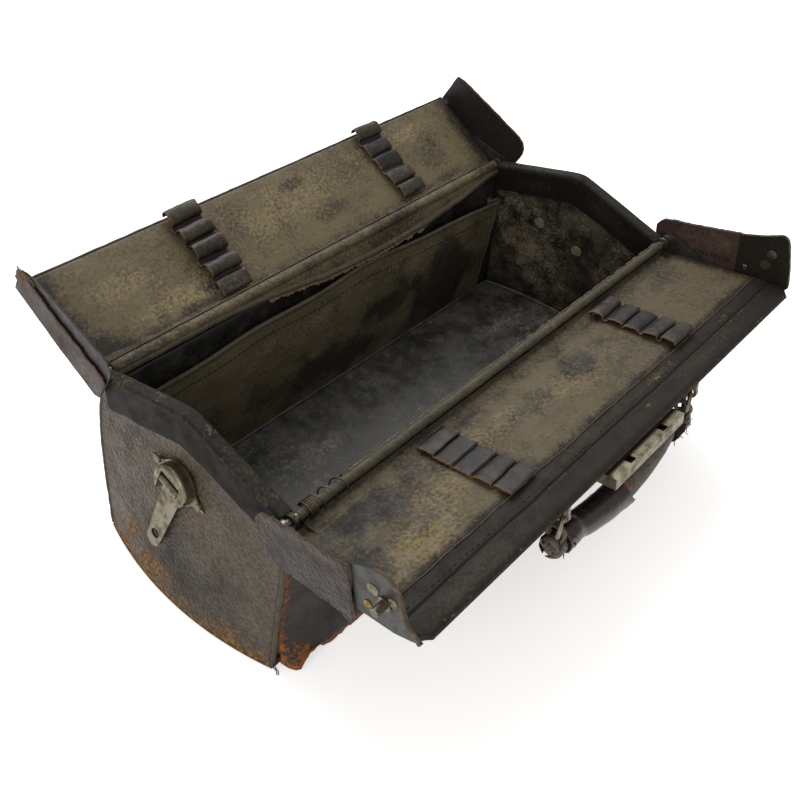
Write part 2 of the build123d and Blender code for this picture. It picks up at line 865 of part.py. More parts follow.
for place, end, flange, end_plate in (
    ("left", LEFT, left_flange, left_plate),
    ("right", RIGHT, right_flange, right_plate),
):
    low = min(end * front_flange_start, end * (front_flange_start + flange_leather))
    face = outline_face(flange, flange_hole)
    lid_bar(FRONT, face, low, low + flange_leather, f"front_lid_{place}_flange")

    with BuildPart() as plate:
        near = front_flange_start if end == FRONT else front_flange_start + plate_steel
        with BuildSketch(lid_section(FRONT, end * near)):
            add(outline_face(end_plate))
            with Locations((stud_u, stud_w)):
                Circle(stud_neck, mode=Mode.SUBTRACT)
        extrude(amount=plate_steel)
    finish(plate, f"{place}_end_plate")

# Studs for the hasps: a post outside the end plate and a peened head inside it
with BuildPart() as hasp_studs:
    for end in (LEFT, RIGHT):
        outside = front_flange_start + plate_steel
        for start, length, radius in (
            (front_flange_start - stud_peen_height, stud_peen_height, stud_peen),
            (front_flange_start, plate_steel, stud_neck),
            (outside, stud_collar_height, stud_collar),
            (outside + stud_collar_height, stud_reach - stud_collar_height, stud_radius),
        ):
            near = start if end == FRONT else start + length
            with BuildSketch(lid_section(FRONT, end * near)):
                with Locations((stud_u, stud_w)):
                    Circle(radius)
            extrude(amount=length)
finish(hasp_studs, "hasp_studs")


def loop_strap(side, middle, first, pitch, surface, width, height, leg, name):
    """A strap sewn down between vial loops, each loop open along X."""
    places = [(first + index * pitch, surface + strap_base + leg) for index in range(loops_per_strap)]
    last = first + (loops_per_strap - 1) * pitch
    with BuildSketch() as outline:
        with Locations(*places):
            Ellipse(width, height)
            Rectangle(2 * width, leg + strap_base, align=(Align.CENTER, Align.MAX))
        with Locations(*places):
            Ellipse(width - strap_leather, height - strap_leather, mode=Mode.SUBTRACT)
            inner = 2 * (width - strap_leather)
            Rectangle(inner, leg + strap_base, align=(Align.CENTER, Align.MAX), mode=Mode.SUBTRACT)
        with Locations(((first + last) / 2, surface - height)):
            Rectangle(last - first + 4 * width, 2 * height, mode=Mode.SUBTRACT)
        with Locations(((first + last) / 2, surface)):
            Rectangle(last - first + 2 * width, strap_base, align=(Align.CENTER, Align.MIN))
    lid_bar(side, outline.sketch, middle - strap_width / 2, middle + strap_width / 2, name)


for place, rear_middle, front_middle in zip(("left", "right"), rear_strap_x, front_strap_x):
    loop_strap(
        REAR,
        rear_middle,
        rear_loop_first,
        rear_loop_pitch,
        rear_pad_crown + lid_gap / 2,
        rear_loop_radius,
        rear_loop_radius,
        rear_loop_leg,
        f"rear_{place}_loops",
    )
    loop_strap(
        FRONT,
        front_middle,
        front_loop_first,
        front_loop_pitch,
        front_pad_crown + lid_gap / 2,
        front_loop_width,
        front_loop_height,
        front_loop_leg,
        f"front_{place}_loops",
    )

# Lock plate with a lug and eye at each end for the handle rings
plate_back = front_skin - lid_gap / 2
plate_out = plate_back - lock_plate_steel
eye_w = plate_out - eye_drop
with BuildPart() as lock_plate:
    with BuildSketch(lid_face(FRONT, plate_back)):
        with Locations((lock_x, (lock_plate_near + lock_plate_far) / 2)):
            Rectangle(2 * lock_plate_half, lock_plate_far - lock_plate_near)
    extrude(amount=lock_plate_steel)
    for hand in (-1, 1):
        with BuildSketch(lid_section(FRONT, lock_x + hand * eye_spread / 2 + eye_steel / 2)):
            with Locations((eye_place, (plate_out + eye_w) / 2)):
                Rectangle(2 * lug_half_width, eye_drop)
            with Locations((eye_place, eye_w)):
                Circle(eye_radius)
                Circle(eye_bore, mode=Mode.SUBTRACT)
        extrude(amount=eye_steel)
finish(lock_plate, "lock_plate")

# Lock case: a shallow box past the lid's edge, its slots taking the staples of the rear lid
case_top = plate_out - lid_gap / 2
case_low = case_top - lock_case_height
slots = (lock_x - lock_slot_spread / 2, lock_x + lock_slot_spread / 2)
bolt_near = lock_case_near + bolt_setback
bolt_w = case_low + lock_sheet + bolt_lift
case_open_low = case_top - 2 * lock_sheet
with BuildPart() as lock_case:
    with BuildSketch(lid_section(FRONT, lock_x + lock_case_half)):
        add(block(lock_case_near, lock_case_far, case_low, case_top))
    extrude(amount=2 * lock_case_half)
    with BuildSketch(lid_section(FRONT, lock_x + lock_case_half - lock_sheet)):
        add(
            block(
                lock_case_near + lock_sheet,
                lock_case_far - lock_sheet,
                case_low + lock_sheet,
                case_top - lock_sheet,
            )
        )
        add(block(lock_case_near + lock_sheet, bolt_near + bolt_width, case_open_low, case_top))
    extrude(amount=2 * (lock_case_half - lock_sheet), mode=Mode.SUBTRACT)
    for slot_x in slots:
        with BuildSketch(lid_section(FRONT, slot_x + lock_slot_width / 2)):
            add(block(front_depth + lid_gap, lock_case_far - lock_sheet, case_open_low, case_top))
        extrude(amount=lock_slot_width, mode=Mode.SUBTRACT)
    with BuildSketch(lid_section(FRONT, lock_x + knob_radius)):
        add(block(bolt_near, bolt_near + bolt_width, case_low, case_low + 2 * lock_sheet))
    extrude(amount=lock_travel + 2 * knob_radius, mode=Mode.SUBTRACT)
finish(lock_case, "lock_case")

# Bolt: a bar with a hooked finger for each staple and a thumb stud outside the case
tip_start = staple_steel / 2 + 3 * lid_gap
with BuildPart() as lock_bolt:
    bolt_top = bolt_w + bolt_height
    with BuildSketch(lid_section(FRONT, lock_x + bolt_half_length)):
        add(block(bolt_near, bolt_near + bolt_width, bolt_w, bolt_top))
    extrude(amount=2 * bolt_half_length)
    for slot_x in slots:
        with BuildSketch(lid_section(FRONT, slot_x + tip_start + finger_length + finger_root)):
            add(block(bolt_near + bolt_width, finger_far, bolt_w, bolt_top))
        extrude(amount=finger_root)
        with BuildSketch(lid_section(FRONT, slot_x + tip_start + finger_length)):
            add(block(finger_near, finger_far, bolt_w, bolt_top))
        extrude(amount=finger_length)
    with BuildSketch(lid_face(FRONT, bolt_w)):
        with Locations((lock_x, bolt_near + bolt_width / 2)):
            Circle(knob_neck)
    extrude(amount=knob_neck_length)
    with BuildSketch(lid_face(FRONT, case_low - lid_gap)):
        with Locations((lock_x, bolt_near + bolt_width / 2)):
            Circle(knob_radius)
    extrude(amount=knob_height)
finish(lock_bolt, "lock_bolt")

# Staples on the rear lid, standing where the slots come down over them
staple_tip = case_low + lock_sheet + lid_gap
staple_back = rear_skin - lid_gap / 2


def staple_foot(place):
    """Where a staple side meets its plate, going straight out of the shut front lid."""
    near = shut_front_to_rear(place, staple_tip)
    far = shut_front_to_rear(place, 0.0)
    depth = staple_back - staple_plate_steel / 2
    share = (depth - near[1]) / (far[1] - near[1])
    return (near[0] + share * (far[0] - near[0]), depth)


with BuildPart() as lock_staples:
    with BuildSketch(lid_section(REAR, lock_x - staple_plate_half)):
        feet = (staple_foot(staple_far)[0], staple_foot(staple_near)[0])
        near, far = min(feet) - 2 * staple_border, max(feet) + staple_border
        add(block(near, far, staple_back - staple_plate_steel, staple_back))
    extrude(amount=2 * staple_plate_half)
    for slot_x in slots:
        with BuildSketch(lid_section(REAR, slot_x - staple_steel / 2)):
            with BuildLine():
                Polyline(
                    staple_foot(staple_near),
                    shut_front_to_rear(staple_near, staple_tip),
                    shut_front_to_rear(staple_far, staple_tip),
                    staple_foot(staple_far),
                    close=True,
                )
            make_face()
            with BuildLine():
                Polyline(
                    shut_front_to_rear(finger_near - finger_clear, bolt_w - finger_clear),
                    shut_front_to_rear(finger_far + finger_clear, bolt_w - finger_clear),
                    shut_front_to_rear(finger_far + finger_clear, bolt_top + finger_clear),
                    shut_front_to_rear(finger_near - finger_clear, bolt_top + finger_clear),
                    close=True,
                )
            make_face(mode=Mode.SUBTRACT)
        extrude(amount=staple_steel)
finish(lock_staples, "lock_staples")

# Handle: two rings hang from the eyes and carry a stuffed leather grip
along, inward = lid_axes(FRONT, radians(front_open))
eye_y = -hinge_y + eye_place * along[0] + eye_w * inward[0]
eye_z = hinge_height + eye_place * along[1] + eye_w * inward[1]
tab_z = eye_z - 2 * ring_radius
grip_z = tab_z - grip_drop
ring_places = [
    Plane(
        origin=(lock_x + hand * eye_spread / 2, eye_y, eye_z - ring_radius),
        z_dir=(-sin(radians(ring_turn)), cos(radians(ring_turn)), 0),
    )
    for hand in (-1, 1)
]
with BuildPart() as handle_rings:
    with Locations(*ring_places):
        Torus(ring_radius, ring_wire_radius)
finish(handle_rings, "handle_rings")


def grip_station(x, extra=0.0):
    """The plane and radius of the grip's section at x from its middle."""
    share = 1 - (x / cover_start) ** 2
    radius = grip_end_radius + (grip_middle_radius - grip_end_radius) * share + extra
    return Plane(origin=(lock_x + x, eye_y, grip_z - grip_sag * share), z_dir=(1, 0, 0)), radius


with BuildPart() as handle_core:
    for step in range(-4, 5):
        station, radius = grip_station(-cover_start * step / 4)
        with BuildSketch(station):
            Circle(radius)
    loft()
    for hand in (-1, 1):
        with BuildSketch(Plane.YZ.offset(lock_x - hand * cover_start)):
            with Locations((eye_y, grip_z)):
                Circle(grip_end_radius)
        extrude(amount=hand * (grip_end_half + cover_start))
        with BuildSketch(Plane.YZ.offset(lock_x + hand * eye_spread / 2 - tab_leather / 2)):
            with Locations((eye_y, tab_z)):
                Circle(tab_radius)
            with Locations((eye_y, (tab_z + grip_z) / 2)):
                Rectangle(2 * tab_half_width, grip_drop)
            with Locations((eye_y, tab_z)):
                Circle(eye_bore + lid_gap, mode=Mode.SUBTRACT)
        extrude(amount=tab_leather)
finish(handle_core, "handle_core")

with BuildPart() as handle_cover:
    for extra, mode in ((cover_leather, Mode.ADD), (lid_gap / 2, Mode.SUBTRACT)):
        for step in range(5):
            station, radius = grip_station(cover_start + (cover_end - cover_start) * step / 4, extra)
            with BuildSketch(station):
                Circle(radius)
        loft(mode=mode)
finish(handle_cover, "handle_cover")

# Thread wound round both ends of the grip
thread_pitches = [thread_pitch] * thread_turns
thread_coil = grip_end_radius + thread_radius + lid_gap
thread_path = winding_path(thread_coil, thread_pitches)
print("handle thread, least gap", round(least_gap(thread_coil, thread_pitches, thread_radius), 2))
with BuildPart() as handle_windings:
    with BuildSketch(Plane(origin=thread_path @ 0, z_dir=thread_path % 0)):
        Circle(thread_radius)
    sweep(path=thread_path)
    mirror(about=Plane.YZ.offset(-thread_start))
handle_windings.part = handle_windings.part.moved(Location((lock_x + thread_start, eye_y, grip_z)))
finish(handle_windings, "handle_windings")
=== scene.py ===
from math import cos, pi, radians, sin

import bpy
import numpy as np
from mathutils import Matrix, Vector, noise


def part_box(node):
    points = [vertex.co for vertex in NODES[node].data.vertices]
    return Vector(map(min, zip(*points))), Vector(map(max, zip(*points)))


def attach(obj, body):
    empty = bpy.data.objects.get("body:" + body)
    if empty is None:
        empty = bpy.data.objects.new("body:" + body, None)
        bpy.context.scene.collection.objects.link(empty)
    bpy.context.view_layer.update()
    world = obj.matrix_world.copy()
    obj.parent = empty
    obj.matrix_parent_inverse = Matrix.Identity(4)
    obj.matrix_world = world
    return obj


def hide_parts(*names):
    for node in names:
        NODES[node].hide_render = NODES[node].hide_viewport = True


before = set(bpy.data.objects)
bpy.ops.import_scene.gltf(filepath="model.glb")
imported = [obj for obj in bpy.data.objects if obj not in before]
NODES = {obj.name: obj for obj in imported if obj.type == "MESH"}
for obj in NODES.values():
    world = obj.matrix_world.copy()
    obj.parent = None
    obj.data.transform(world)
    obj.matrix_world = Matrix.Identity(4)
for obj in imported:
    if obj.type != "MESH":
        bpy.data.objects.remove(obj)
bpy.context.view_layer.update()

# An old leather satchel, lying open, its leather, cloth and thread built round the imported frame.
# Sizes are in millimetres along the frame's own axes and turned into metres by MM.
MM = 0.001
LEFT, RIGHT = -1, 1
FRONT, REAR = -1, 1
ENDS = (("left", LEFT), ("right", RIGHT))
LONG_SIDES = (("front", FRONT), ("rear", REAR))
LID = {FRONT: "front_lid", REAR: "rear_lid"}

# Body, as the frame gives it
HINGE_Y = 81.0
HINGE_Z = 129.6
SLOPE = 22.4 / HINGE_Y
APEX_Z = 152.0
APEX_SOFTNESS = 4.1
WALL_X = 200.0
FLARE = 12.5
BULGE = 12.0
FLARE_HEIGHT = 104.0
END_HALF = 77.0
WALL_HALF = 80.0
WALL_FOOT = 0.8
FLOOR_Z = 6.0
ROD_WRAP = 192.6
POCKET_HALF, POCKET_FOOT, POCKET_BACK = 183.0, 8.0, 75.4

# Lids: angle above level when open, and each lid's depths from its rod
OPEN = {REAR: radians(30.5), FRONT: radians(10.0)}
REAR_SKIN, REAR_DEPTH = -12.5, 76.0
FRONT_SKIN, FRONT_DEPTH, FRONT_CREASE = -16.5, 99.6, 73.0
REAR_HALF, FRONT_HALF = 202.8, 206.6
PAD_NEAR = 0.4
CORNER_CUT = 6.5    # how far the lids' outer corners are rounded in


# Numbers and places
def tone(colour):
    """A screen colour, 0 to 255, as the linear colour that shaders take."""
    return tuple(((v / 255 + 0.055) / 1.055) ** 2.4 if v > 10 else v / 255 / 12.92 for v in colour) + (1.0,)


def shade(colour, share):
    """A linear colour darkened to a share of itself."""
    return tuple(v * share for v in colour[:3]) + (1.0,)


def grid(along, across):
    """Two lines of values as grids: the first changes by row, the second by column."""
    return np.meshgrid(along, across, indexing="ij")


def relief(a, b, scale, seed=0.0):
    """Smooth random relief, about -1 to 1, over two arrays of millimetres; scale is its wavelength."""
    a, b = np.broadcast_arrays(np.asarray(a, float), np.asarray(b, float))
    flat = [
        noise.fractal(Vector((x / scale + seed, y / scale - seed, seed)), 1.0, 2.0, 3)
        for x, y in zip(a.ravel(), b.ravel())
    ]
    return np.clip(np.array(flat).reshape(a.shape) * 1.4, -1, 1)


def rise(value, low, high):
    """A smooth step from 0 at low to 1 at high."""
    t = np.clip((np.asarray(value, float) - low) / (high - low), 0, 1)
    return t * t * (3 - 2 * t)


def spots(a, b, places, seed):
    """Soft-edged patches: each place is a, b, reach along a, reach along b, strength."""
    total = np.zeros(np.broadcast(a, b).shape)
    warp = relief(a, b, 22.0, seed + 5.3) * 0.35
    for at_a, at_b, reach_a, reach_b, strength in places:
        distance = np.hypot((a - at_a) / reach_a, (b - at_b) / reach_b) + warp
        total = np.maximum(total, strength * (1 - rise(distance, 0.25, 1.2)))
    return total


def stack(x, y, z):
    """Points in metres from arrays of millimetres."""
    return np.stack(np.broadcast_arrays(x, y, z), axis=-1) * MM


def gable_top(y):
    """Height of the gable's top line at y."""
    return APEX_Z - SLOPE * np.hypot(y, APEX_SOFTNESS)


def flare(z):
    """How much further out the ends stand at z than above the flare."""
    return FLARE * np.clip(1 - z / FLARE_HEIGHT, 0, None)


def end_x(y, z, out=0.0):
    """How far out an end wall stands at y and z; out is the distance outside its leather face."""
    share = np.clip(1 - z / FLARE_HEIGHT, 0, None)
    return WALL_X + out + share * (FLARE + BULGE * (1 - (y / END_HALF) ** 2))


def lid_point(side, x, u, w):
    """A point of a lid: x along the bag, u away from its rod, w towards its inner side."""
    angle = OPEN[side]
    y = side * (HINGE_Y + u * cos(angle) - w * sin(angle))
    z = HINGE_Z + u * sin(angle) + w * cos(angle)
    return stack(x, y, z)


# Meshes
def make_object(name, points, faces, masks=None):
    """A mesh object; masks are per-point values that materials read by name."""
    mesh = bpy.data.meshes.new(name)
    mesh.from_pydata([tuple(p) for p in points], [], faces)
    mesh.polygons.foreach_set("use_smooth", [True] * len(mesh.polygons))
    for key, values in (masks or {}).items():
        layer = mesh.attributes.new(key, "FLOAT", "POINT")
        layer.data.foreach_set("value", np.asarray(values, np.float32))
    mesh.update()
    obj = bpy.data.objects.new(name, mesh)
    bpy.context.scene.collection.objects.link(obj)
    return obj


def grid_normals(points):
    """Unit normals of a grid of points."""
    along = np.gradient(points, axis=0)
    across = np.gradient(points, axis=1)
    normal = np.cross(along, across)
    return normal / np.maximum(np.linalg.norm(normal, axis=-1, keepdims=True), 1e-12)


def sheet(name, points, thickness=None, back=None, rim_out=0.35, flip=False, **masks):
    """A closed sheet with rounded rims: a grid of points in front, and a back grid or a thickness in millimetres."""
    if flip:
        points = points[::-1]
        back = None if back is None else back[::-1]
        masks = {key: value[::-1] for key, value in masks.items()}
    if back is None:
        back = points - grid_normals(points) * thickness * MM
    rows, cols = points.shape[:2]
    count = rows * cols
    ring = [(i, 0) for i in range(rows)] + [(rows - 1, j) for j in range(1, cols)]
    ring += [(i, cols - 1) for i in range(rows - 2, -1, -1)] + [(0, j) for j in range(cols - 2, 0, -1)]
    rim = []
    for i, j in ring:
        inner = (min(max(i, 1), rows - 2), min(max(j, 1), cols - 2))
        outward = points[i, j] - points[inner]
        outward /= max(np.linalg.norm(outward), 1e-9)
        depth = np.linalg.norm(points[i, j] - back[i, j])
        rim.append((points[i, j] + back[i, j]) / 2 + outward * depth * rim_out)
    faces = []
    for i in range(rows - 1):
        for j in range(cols - 1):
            a, b, c, d = i * cols + j, (i + 1) * cols + j, (i + 1) * cols + j + 1, i * cols + j + 1
            faces.append((a, b, c, d))
            faces.append((d + count, c + count, b + count, a + count))
    size = len(ring)
    for k in range(size):
        here, after = ring[k], ring[(k + 1) % size]
        a, b = here[0] * cols + here[1], after[0] * cols + after[1]
        m, n = 2 * count + k, 2 * count + (k + 1) % size
        faces.append((b, a, m, n))
        faces.append((n, m, a + count, b + count))
    data = {}
    for key, value in masks.items():
        value = np.broadcast_to(value, (rows, cols))
        data[key] = np.concatenate([value.ravel(), value.ravel(), [value[i, j] for i, j in ring]])
    data["edge"] = np.concatenate([np.zeros(2 * count), np.ones(size)])
    return make_object(name, np.concatenate([points.reshape(-1, 3), back.reshape(-1, 3), rim]), faces, data)


def tube(name, path, radius, sides, squash=1.0, **masks):
    """A closed tube along a path in metres; radius in millimetres is a number or one value for each ring or point."""
    path = np.asarray(path, float)
    count = len(path)
    ways = np.gradient(path, axis=0)
    ways /= np.linalg.norm(ways, axis=1, keepdims=True)
    radius = np.asarray(radius, float)
    if radius.ndim < 2:
        radius = np.repeat(np.broadcast_to(radius, (count,))[:, None], sides, axis=1)
    up = Vector((0, 0, 1)) if abs(ways[0][2]) < 0.9 else Vector((1, 0, 0))
    points = []
    for i in range(count):
        way = Vector(ways[i])
        across = way.cross(up).normalized()
        up = across.cross(way).normalized()
        for k in range(sides):
            angle = 2 * pi * k / sides
            offset = across * cos(angle) + up * (sin(angle) * squash)
            points.append(Vector(path[i]) + offset * float(radius[i, k]) * MM)
    faces = []
    for i in range(count - 1):
        for k in range(sides):
            a, b = i * sides + k, i * sides + (k + 1) % sides
            faces.append((a, b, b + sides, a + sides))
    start, end = len(points), len(points) + 1
    points.append(Vector(path[0]) - Vector(ways[0]) * float(radius[0].mean()) * 0.4 * MM)
    points.append(Vector(path[-1]) + Vector(ways[-1]) * float(radius[-1].mean()) * 0.4 * MM)
    last = (count - 1) * sides
    for k in range(sides):
        faces.append((start, (k + 1) % sides, k))
        faces.append((end, last + k, last + (k + 1) % sides))
    data = {}
    for key, value in masks.items():
        value = np.repeat(np.broadcast_to(value, (count,)), sides)
        data[key] = np.concatenate([value, [value[0], value[-1]]])
    return make_object(name, points, faces, data)


def join(name, pieces):
    """Several mesh objects as one."""
    target = pieces[0]
    if len(pieces) > 1:
        with bpy.context.temp_override(active_object=target, selected_editable_objects=pieces, object=target):
            bpy.ops.object.join()
    target.name = name
    target.data.name = name
    return target


def stitches(name, path, out, length, gap, radius):
    """A row of stitches along a path in metres, standing out along a direction."""
    path = np.asarray(path, float)
    steps = np.linalg.norm(np.diff(path, axis=0), axis=1)
    along = np.concatenate([[0], np.cumsum(steps)])
    pitch = (length + gap) * MM
    made = []
    for k in range(int(along[-1] / pitch)):
        places = [k * pitch + length * MM * t for t in (0.0, 0.2, 0.5, 0.8, 1.0)]
        line = np.stack([np.interp(places, along, path[:, axis]) for axis in range(3)], axis=1)
        lift = np.array([-0.5, 0.2, 0.45, 0.2, -0.5])[:, None] * radius * MM * 1.6
        made.append(tube(f"{name}_{k}", line + np.asarray(out, float)[None, :] * lift, radius, sides=6))
    return join(name, made)


def strands(name, lines, radius, sides=5):
    """Loose fibres or threads as one mesh."""
    return join(name, [tube(f"{name}_{k}", line, radius, sides) for k, line in enumerate(lines)])


def dome(name, centre, out, radius, height):
    """A rivet head: a low dome on a surface, standing out along a direction."""
    rings, sides = 6, 20
    out = Vector(out).normalized()
    across = out.orthogonal().normalized()
    upward = out.cross(across)
    points, faces = [], []
    for i in range(rings):
        angle = pi / 2 * i / rings
        for k in range(sides):
            turn = 2 * pi * k / sides
            flat = (across * cos(turn) + upward * sin(turn)) * radius * cos(angle)
            points.append((Vector(centre) + flat + out * height * sin(angle)) * MM)
    points.append((Vector(centre) + out * height) * MM)
    for i in range(rings - 1):
        for k in range(sides):
            a, b = i * sides + k, i * sides + (k + 1) % sides
            faces.append((a, b, b + sides, a + sides))
    top = len(points) - 1
    for k in range(sides):
        faces.append(((rings - 1) * sides + k, (rings - 1) * sides + (k + 1) % sides, top))
    faces.append(tuple(range(sides - 1, -1, -1)))
    return make_object(name, points, faces)


# Materials; GRAIN is the scale of the finest marks of leather and cloth, in waves per metre
GRAIN = 430.0


class Paint:
    """A procedural material, built node by node."""

    def __init__(self, name):
        self.material = bpy.data.materials.new(name)
        self.material.use_nodes = True
        self.tree = self.material.node_tree
        self.tree.nodes.clear()
        self.place = self.node("TexCoord", {}).outputs["Object"]
        self.shader = self.node("BsdfPrincipled", {})
        self.node("OutputMaterial", {0: self.shader.outputs[0]})

    def put(self, target, value):
        """Link a socket or set a plain value."""
        if isinstance(value, bpy.types.NodeSocket):
            self.tree.links.new(value, target)
        else:
            target.default_value = value

    def node(self, kind, inputs):
        """A new node whose inputs, by index or name, are linked or set."""
        made = self.tree.nodes.new("ShaderNode" + kind)
        for key, value in inputs.items():
            self.put(made.inputs[key], value)
        return made

    def math(self, operation, a, b):
        node = self.node("Math", {0: a, 1: b})
        node.operation = operation
        return node.outputs[0]

    def add(self, total, *terms):
        for term in terms:
            total = self.math("ADD", total, term)
        return total

    def times(self, a, b):
        return self.math("MULTIPLY", a, b)

    def sway(self, grain, amount):
        """A grain, 0 to 1, as a change up or down."""
        return self.times(self.math("SUBTRACT", grain, 0.5), amount)

    def ramp(self, value, low, high, start=0.0, end=1.0):
        node = self.node("MapRange", {0: value, 1: low, 2: high, 3: start, 4: end})
        node.interpolation_type = "SMOOTHSTEP"
        return node.outputs[0]

    def mix(self, factor, a, b):
        node = self.node("Mix", {0: factor})
        node.data_type = "RGBA"
        self.put(node.inputs[6], a)
        self.put(node.inputs[7], b)
        return node.outputs[2]

    def noise(self, scale, detail, roughness, stretch=None, distortion=0.0):
        place = self.node("Mapping", {"Vector": self.place, "Scale": stretch}).outputs[0] if stretch else self.place
        inputs = {"Vector": place, "Scale": scale, "Detail": detail, "Roughness": roughness, "Distortion": distortion}
        return self.node("TexNoise", inputs).outputs[0]

    def cells(self, scale, feature, randomness=1.0):
        node = self.node("TexVoronoi", {"Vector": self.place, "Scale": scale, "Randomness": randomness})
        node.feature = feature
        return node.outputs["Distance"]

    def mask(self, name):
        node = self.node("Attribute", {})
        node.attribute_name = name
        return node.outputs["Fac"]

    def finish(self, colour, roughness, height, depth, metallic=0.0, specular=0.5):
        """Set the shader; depth is the relief in millimetres."""
        bump = self.node("Bump", {"Strength": 1.0, "Distance": depth * MM, "Height": height})
        for key, value in (("Base Color", colour), ("Roughness", roughness), ("Metallic", metallic),
                           ("Specular IOR Level", specular), ("Normal", bump.outputs[0])):
            self.put(self.shader.inputs[key], value)
        return self.material


def leather(name, *colours, pebble=0.0, depth=0.5, gloss=(0.5, 0.72), speckle=0.4, shine=0.3):
    """Old leather: mottled and speckled, pebbled or plain, rubbed to another colour where the mask wear says.

    The colours are dark, base, pale, worn and raw, the last for cut edges.
    """
    dark, base, pale, worn, raw = (tone(colour) for colour in colours)
    p = Paint(name)
    broad = p.noise(17.0, 5.0, 0.55, distortion=0.5)
    mottle = p.noise(75.0, 6.0, 0.68)
    fine = p.noise(GRAIN, 4.0, 0.72)
    crack = p.ramp(p.cells(GRAIN * 0.8, "DISTANCE_TO_EDGE"), 0.0, 0.16, 1.0, 0.0)
    scratch = p.noise(70.0, 5.0, 0.7, stretch=(0.3, 2.2, 2.2), distortion=0.5)
    grit = p.sway(fine, 3.4 * speckle)
    # This mask darkens towards the dark colour. It holds real stains, and painted shade by the rear rod, on both lining
    # lips, on the rear hinge fold and low on the loops.
    dusk = p.add(p.ramp(broad, 0.34, 0.7, 0.0, 0.3), p.times(p.mask("stain"), 0.75), p.sway(mottle, 0.7))
    dusk = p.math("SUBTRACT", p.add(dusk, p.times(crack, 0.22 * speckle)), grit)
    light = p.add(p.ramp(scratch, 0.52, 0.74, 0.0, 0.35), p.times(p.mask("pale"), 0.55), p.sway(mottle, 0.5), grit)
    colour = p.mix(p.ramp(light, 0.05, 0.75), base, pale)
    colour = p.mix(p.ramp(dusk, 0.0, 0.8), colour, dark)
    height = p.times(mottle, 0.5)
    if pebble:
        bumps = p.cells(pebble, "SMOOTH_F1")
        # Darker in the pebble hollows: partly the dark finish kept there, partly painted shade.
        colour = p.mix(p.ramp(bumps, 0.3, 0.66, 0.0, 0.6), colour, dark)
        height = p.math("SUBTRACT", height, p.ramp(bumps, 0.1, 0.62))
    height = p.add(height, p.times(fine, 0.5))
    wear = p.add(p.mask("wear"), p.sway(mottle, 1.5), p.sway(fine, 1.3))
    wear = p.times(p.ramp(wear, 0.34, 0.74), p.ramp(p.mask("wear"), 0.02, 0.2))
    shaded = tuple(0.16 * w + 0.7 * d for w, d in zip(worn[:3], dark[:3])) + (1.0,)
    rubbed = p.mix(p.ramp(fine, 0.34, 0.62), shaded, worn)
    if pebble:
        rubbed = p.mix(p.ramp(bumps, 0.26, 0.6, 0.0, 0.85), rubbed, shaded)
    colour = p.mix(wear, colour, rubbed)
    colour = p.mix(p.times(p.mask("edge"), p.ramp(mottle, 0.35, 0.6, 0.35, 0.95)), colour, raw)
    rough = p.add(p.ramp(mottle, 0.35, 0.7, *gloss), p.times(wear, 0.2))
    return p.finish(colour, rough, height, depth, specular=shine)


def oilcloth(name, *colours):
    """Black coated cloth: fine-woven, dusty and rubbed brown in places; its colours are dark, base, dust and brown."""
    dark, base, dust, brown = (tone(colour) for colour in colours)
    p = Paint(name)
    broad = p.noise(9.0, 6.0, 0.62, distortion=0.6)
    mottle = p.noise(60.0, 7.0, 0.7)
    fine = p.noise(GRAIN, 4.0, 0.75)
    weave = p.cells(1300.0, "F1", randomness=0.3)
    colour = p.mix(p.ramp(p.add(mottle, p.times(fine, 0.3)), 0.5, 0.85), dark, base)
    haze = p.add(p.ramp(broad, 0.42, 0.7, 0.0, 0.5), p.times(p.mask("pale"), 0.7))
    haze = p.add(haze, p.sway(mottle, 1.2), p.sway(fine, 2.2))
    colour = p.mix(p.ramp(haze, 0.2, 1.1, 0.0, 0.75), colour, dust)
    rub = p.add(p.mask("wear"), p.sway(mottle, 1.6), p.sway(fine, 0.9))
    rub = p.times(p.ramp(rub, 0.35, 0.85), p.ramp(p.mask("wear"), 0.02, 0.25))
    colour = p.mix(rub, colour, p.mix(p.ramp(fine, 0.38, 0.62), brown, dark))
    colour = p.mix(p.ramp(p.noise(380.0, 2.0, 0.5), 0.7, 0.73, 0.0, 0.5), colour, dust)
    height = p.add(p.times(mottle, 0.8), p.times(weave, 0.08))
    rough = p.add(p.ramp(mottle, 0.35, 0.65, 0.38, 0.66), p.times(haze, 0.2))
    return p.finish(colour, rough, height, 0.5)


def metal(name, clean, tarnish, rough, metallic=1.0):
    """Plated or bare steel, dulled and spotted."""
    clean, tarnish = tone(clean), tone(tarnish)
    p = Paint(name)
    cloud = p.noise(140.0, 6.0, 0.65)
    spot = p.noise(900.0, 3.0, 0.6)
    brushed = p.noise(300.0, 3.0, 0.6, stretch=(0.2, 2.0, 2.0))
    colour = p.mix(p.ramp(cloud, 0.42, 0.66), clean, tarnish)
    colour = p.mix(p.ramp(spot, 0.62, 0.7, 0.0, 0.7), colour, shade(tarnish, 0.4))
    roughness = p.add(p.ramp(cloud, 0.38, 0.68, *rough), p.times(brushed, 0.1))
    return p.finish(colour, roughness, p.add(p.times(spot, 0.5), p.times(brushed, 0.3)), 0.06, metallic)


def fibre(name, base, pale, scale):
    """Thread, raw fibres or pressed board."""
    p = Paint(name)
    grain = p.noise(scale, 4.0, 0.7)
    colour = p.mix(p.ramp(grain, 0.35, 0.7), tone(base), tone(pale))
    return p.finish(colour, 0.85, grain, 0.15, specular=0.3)


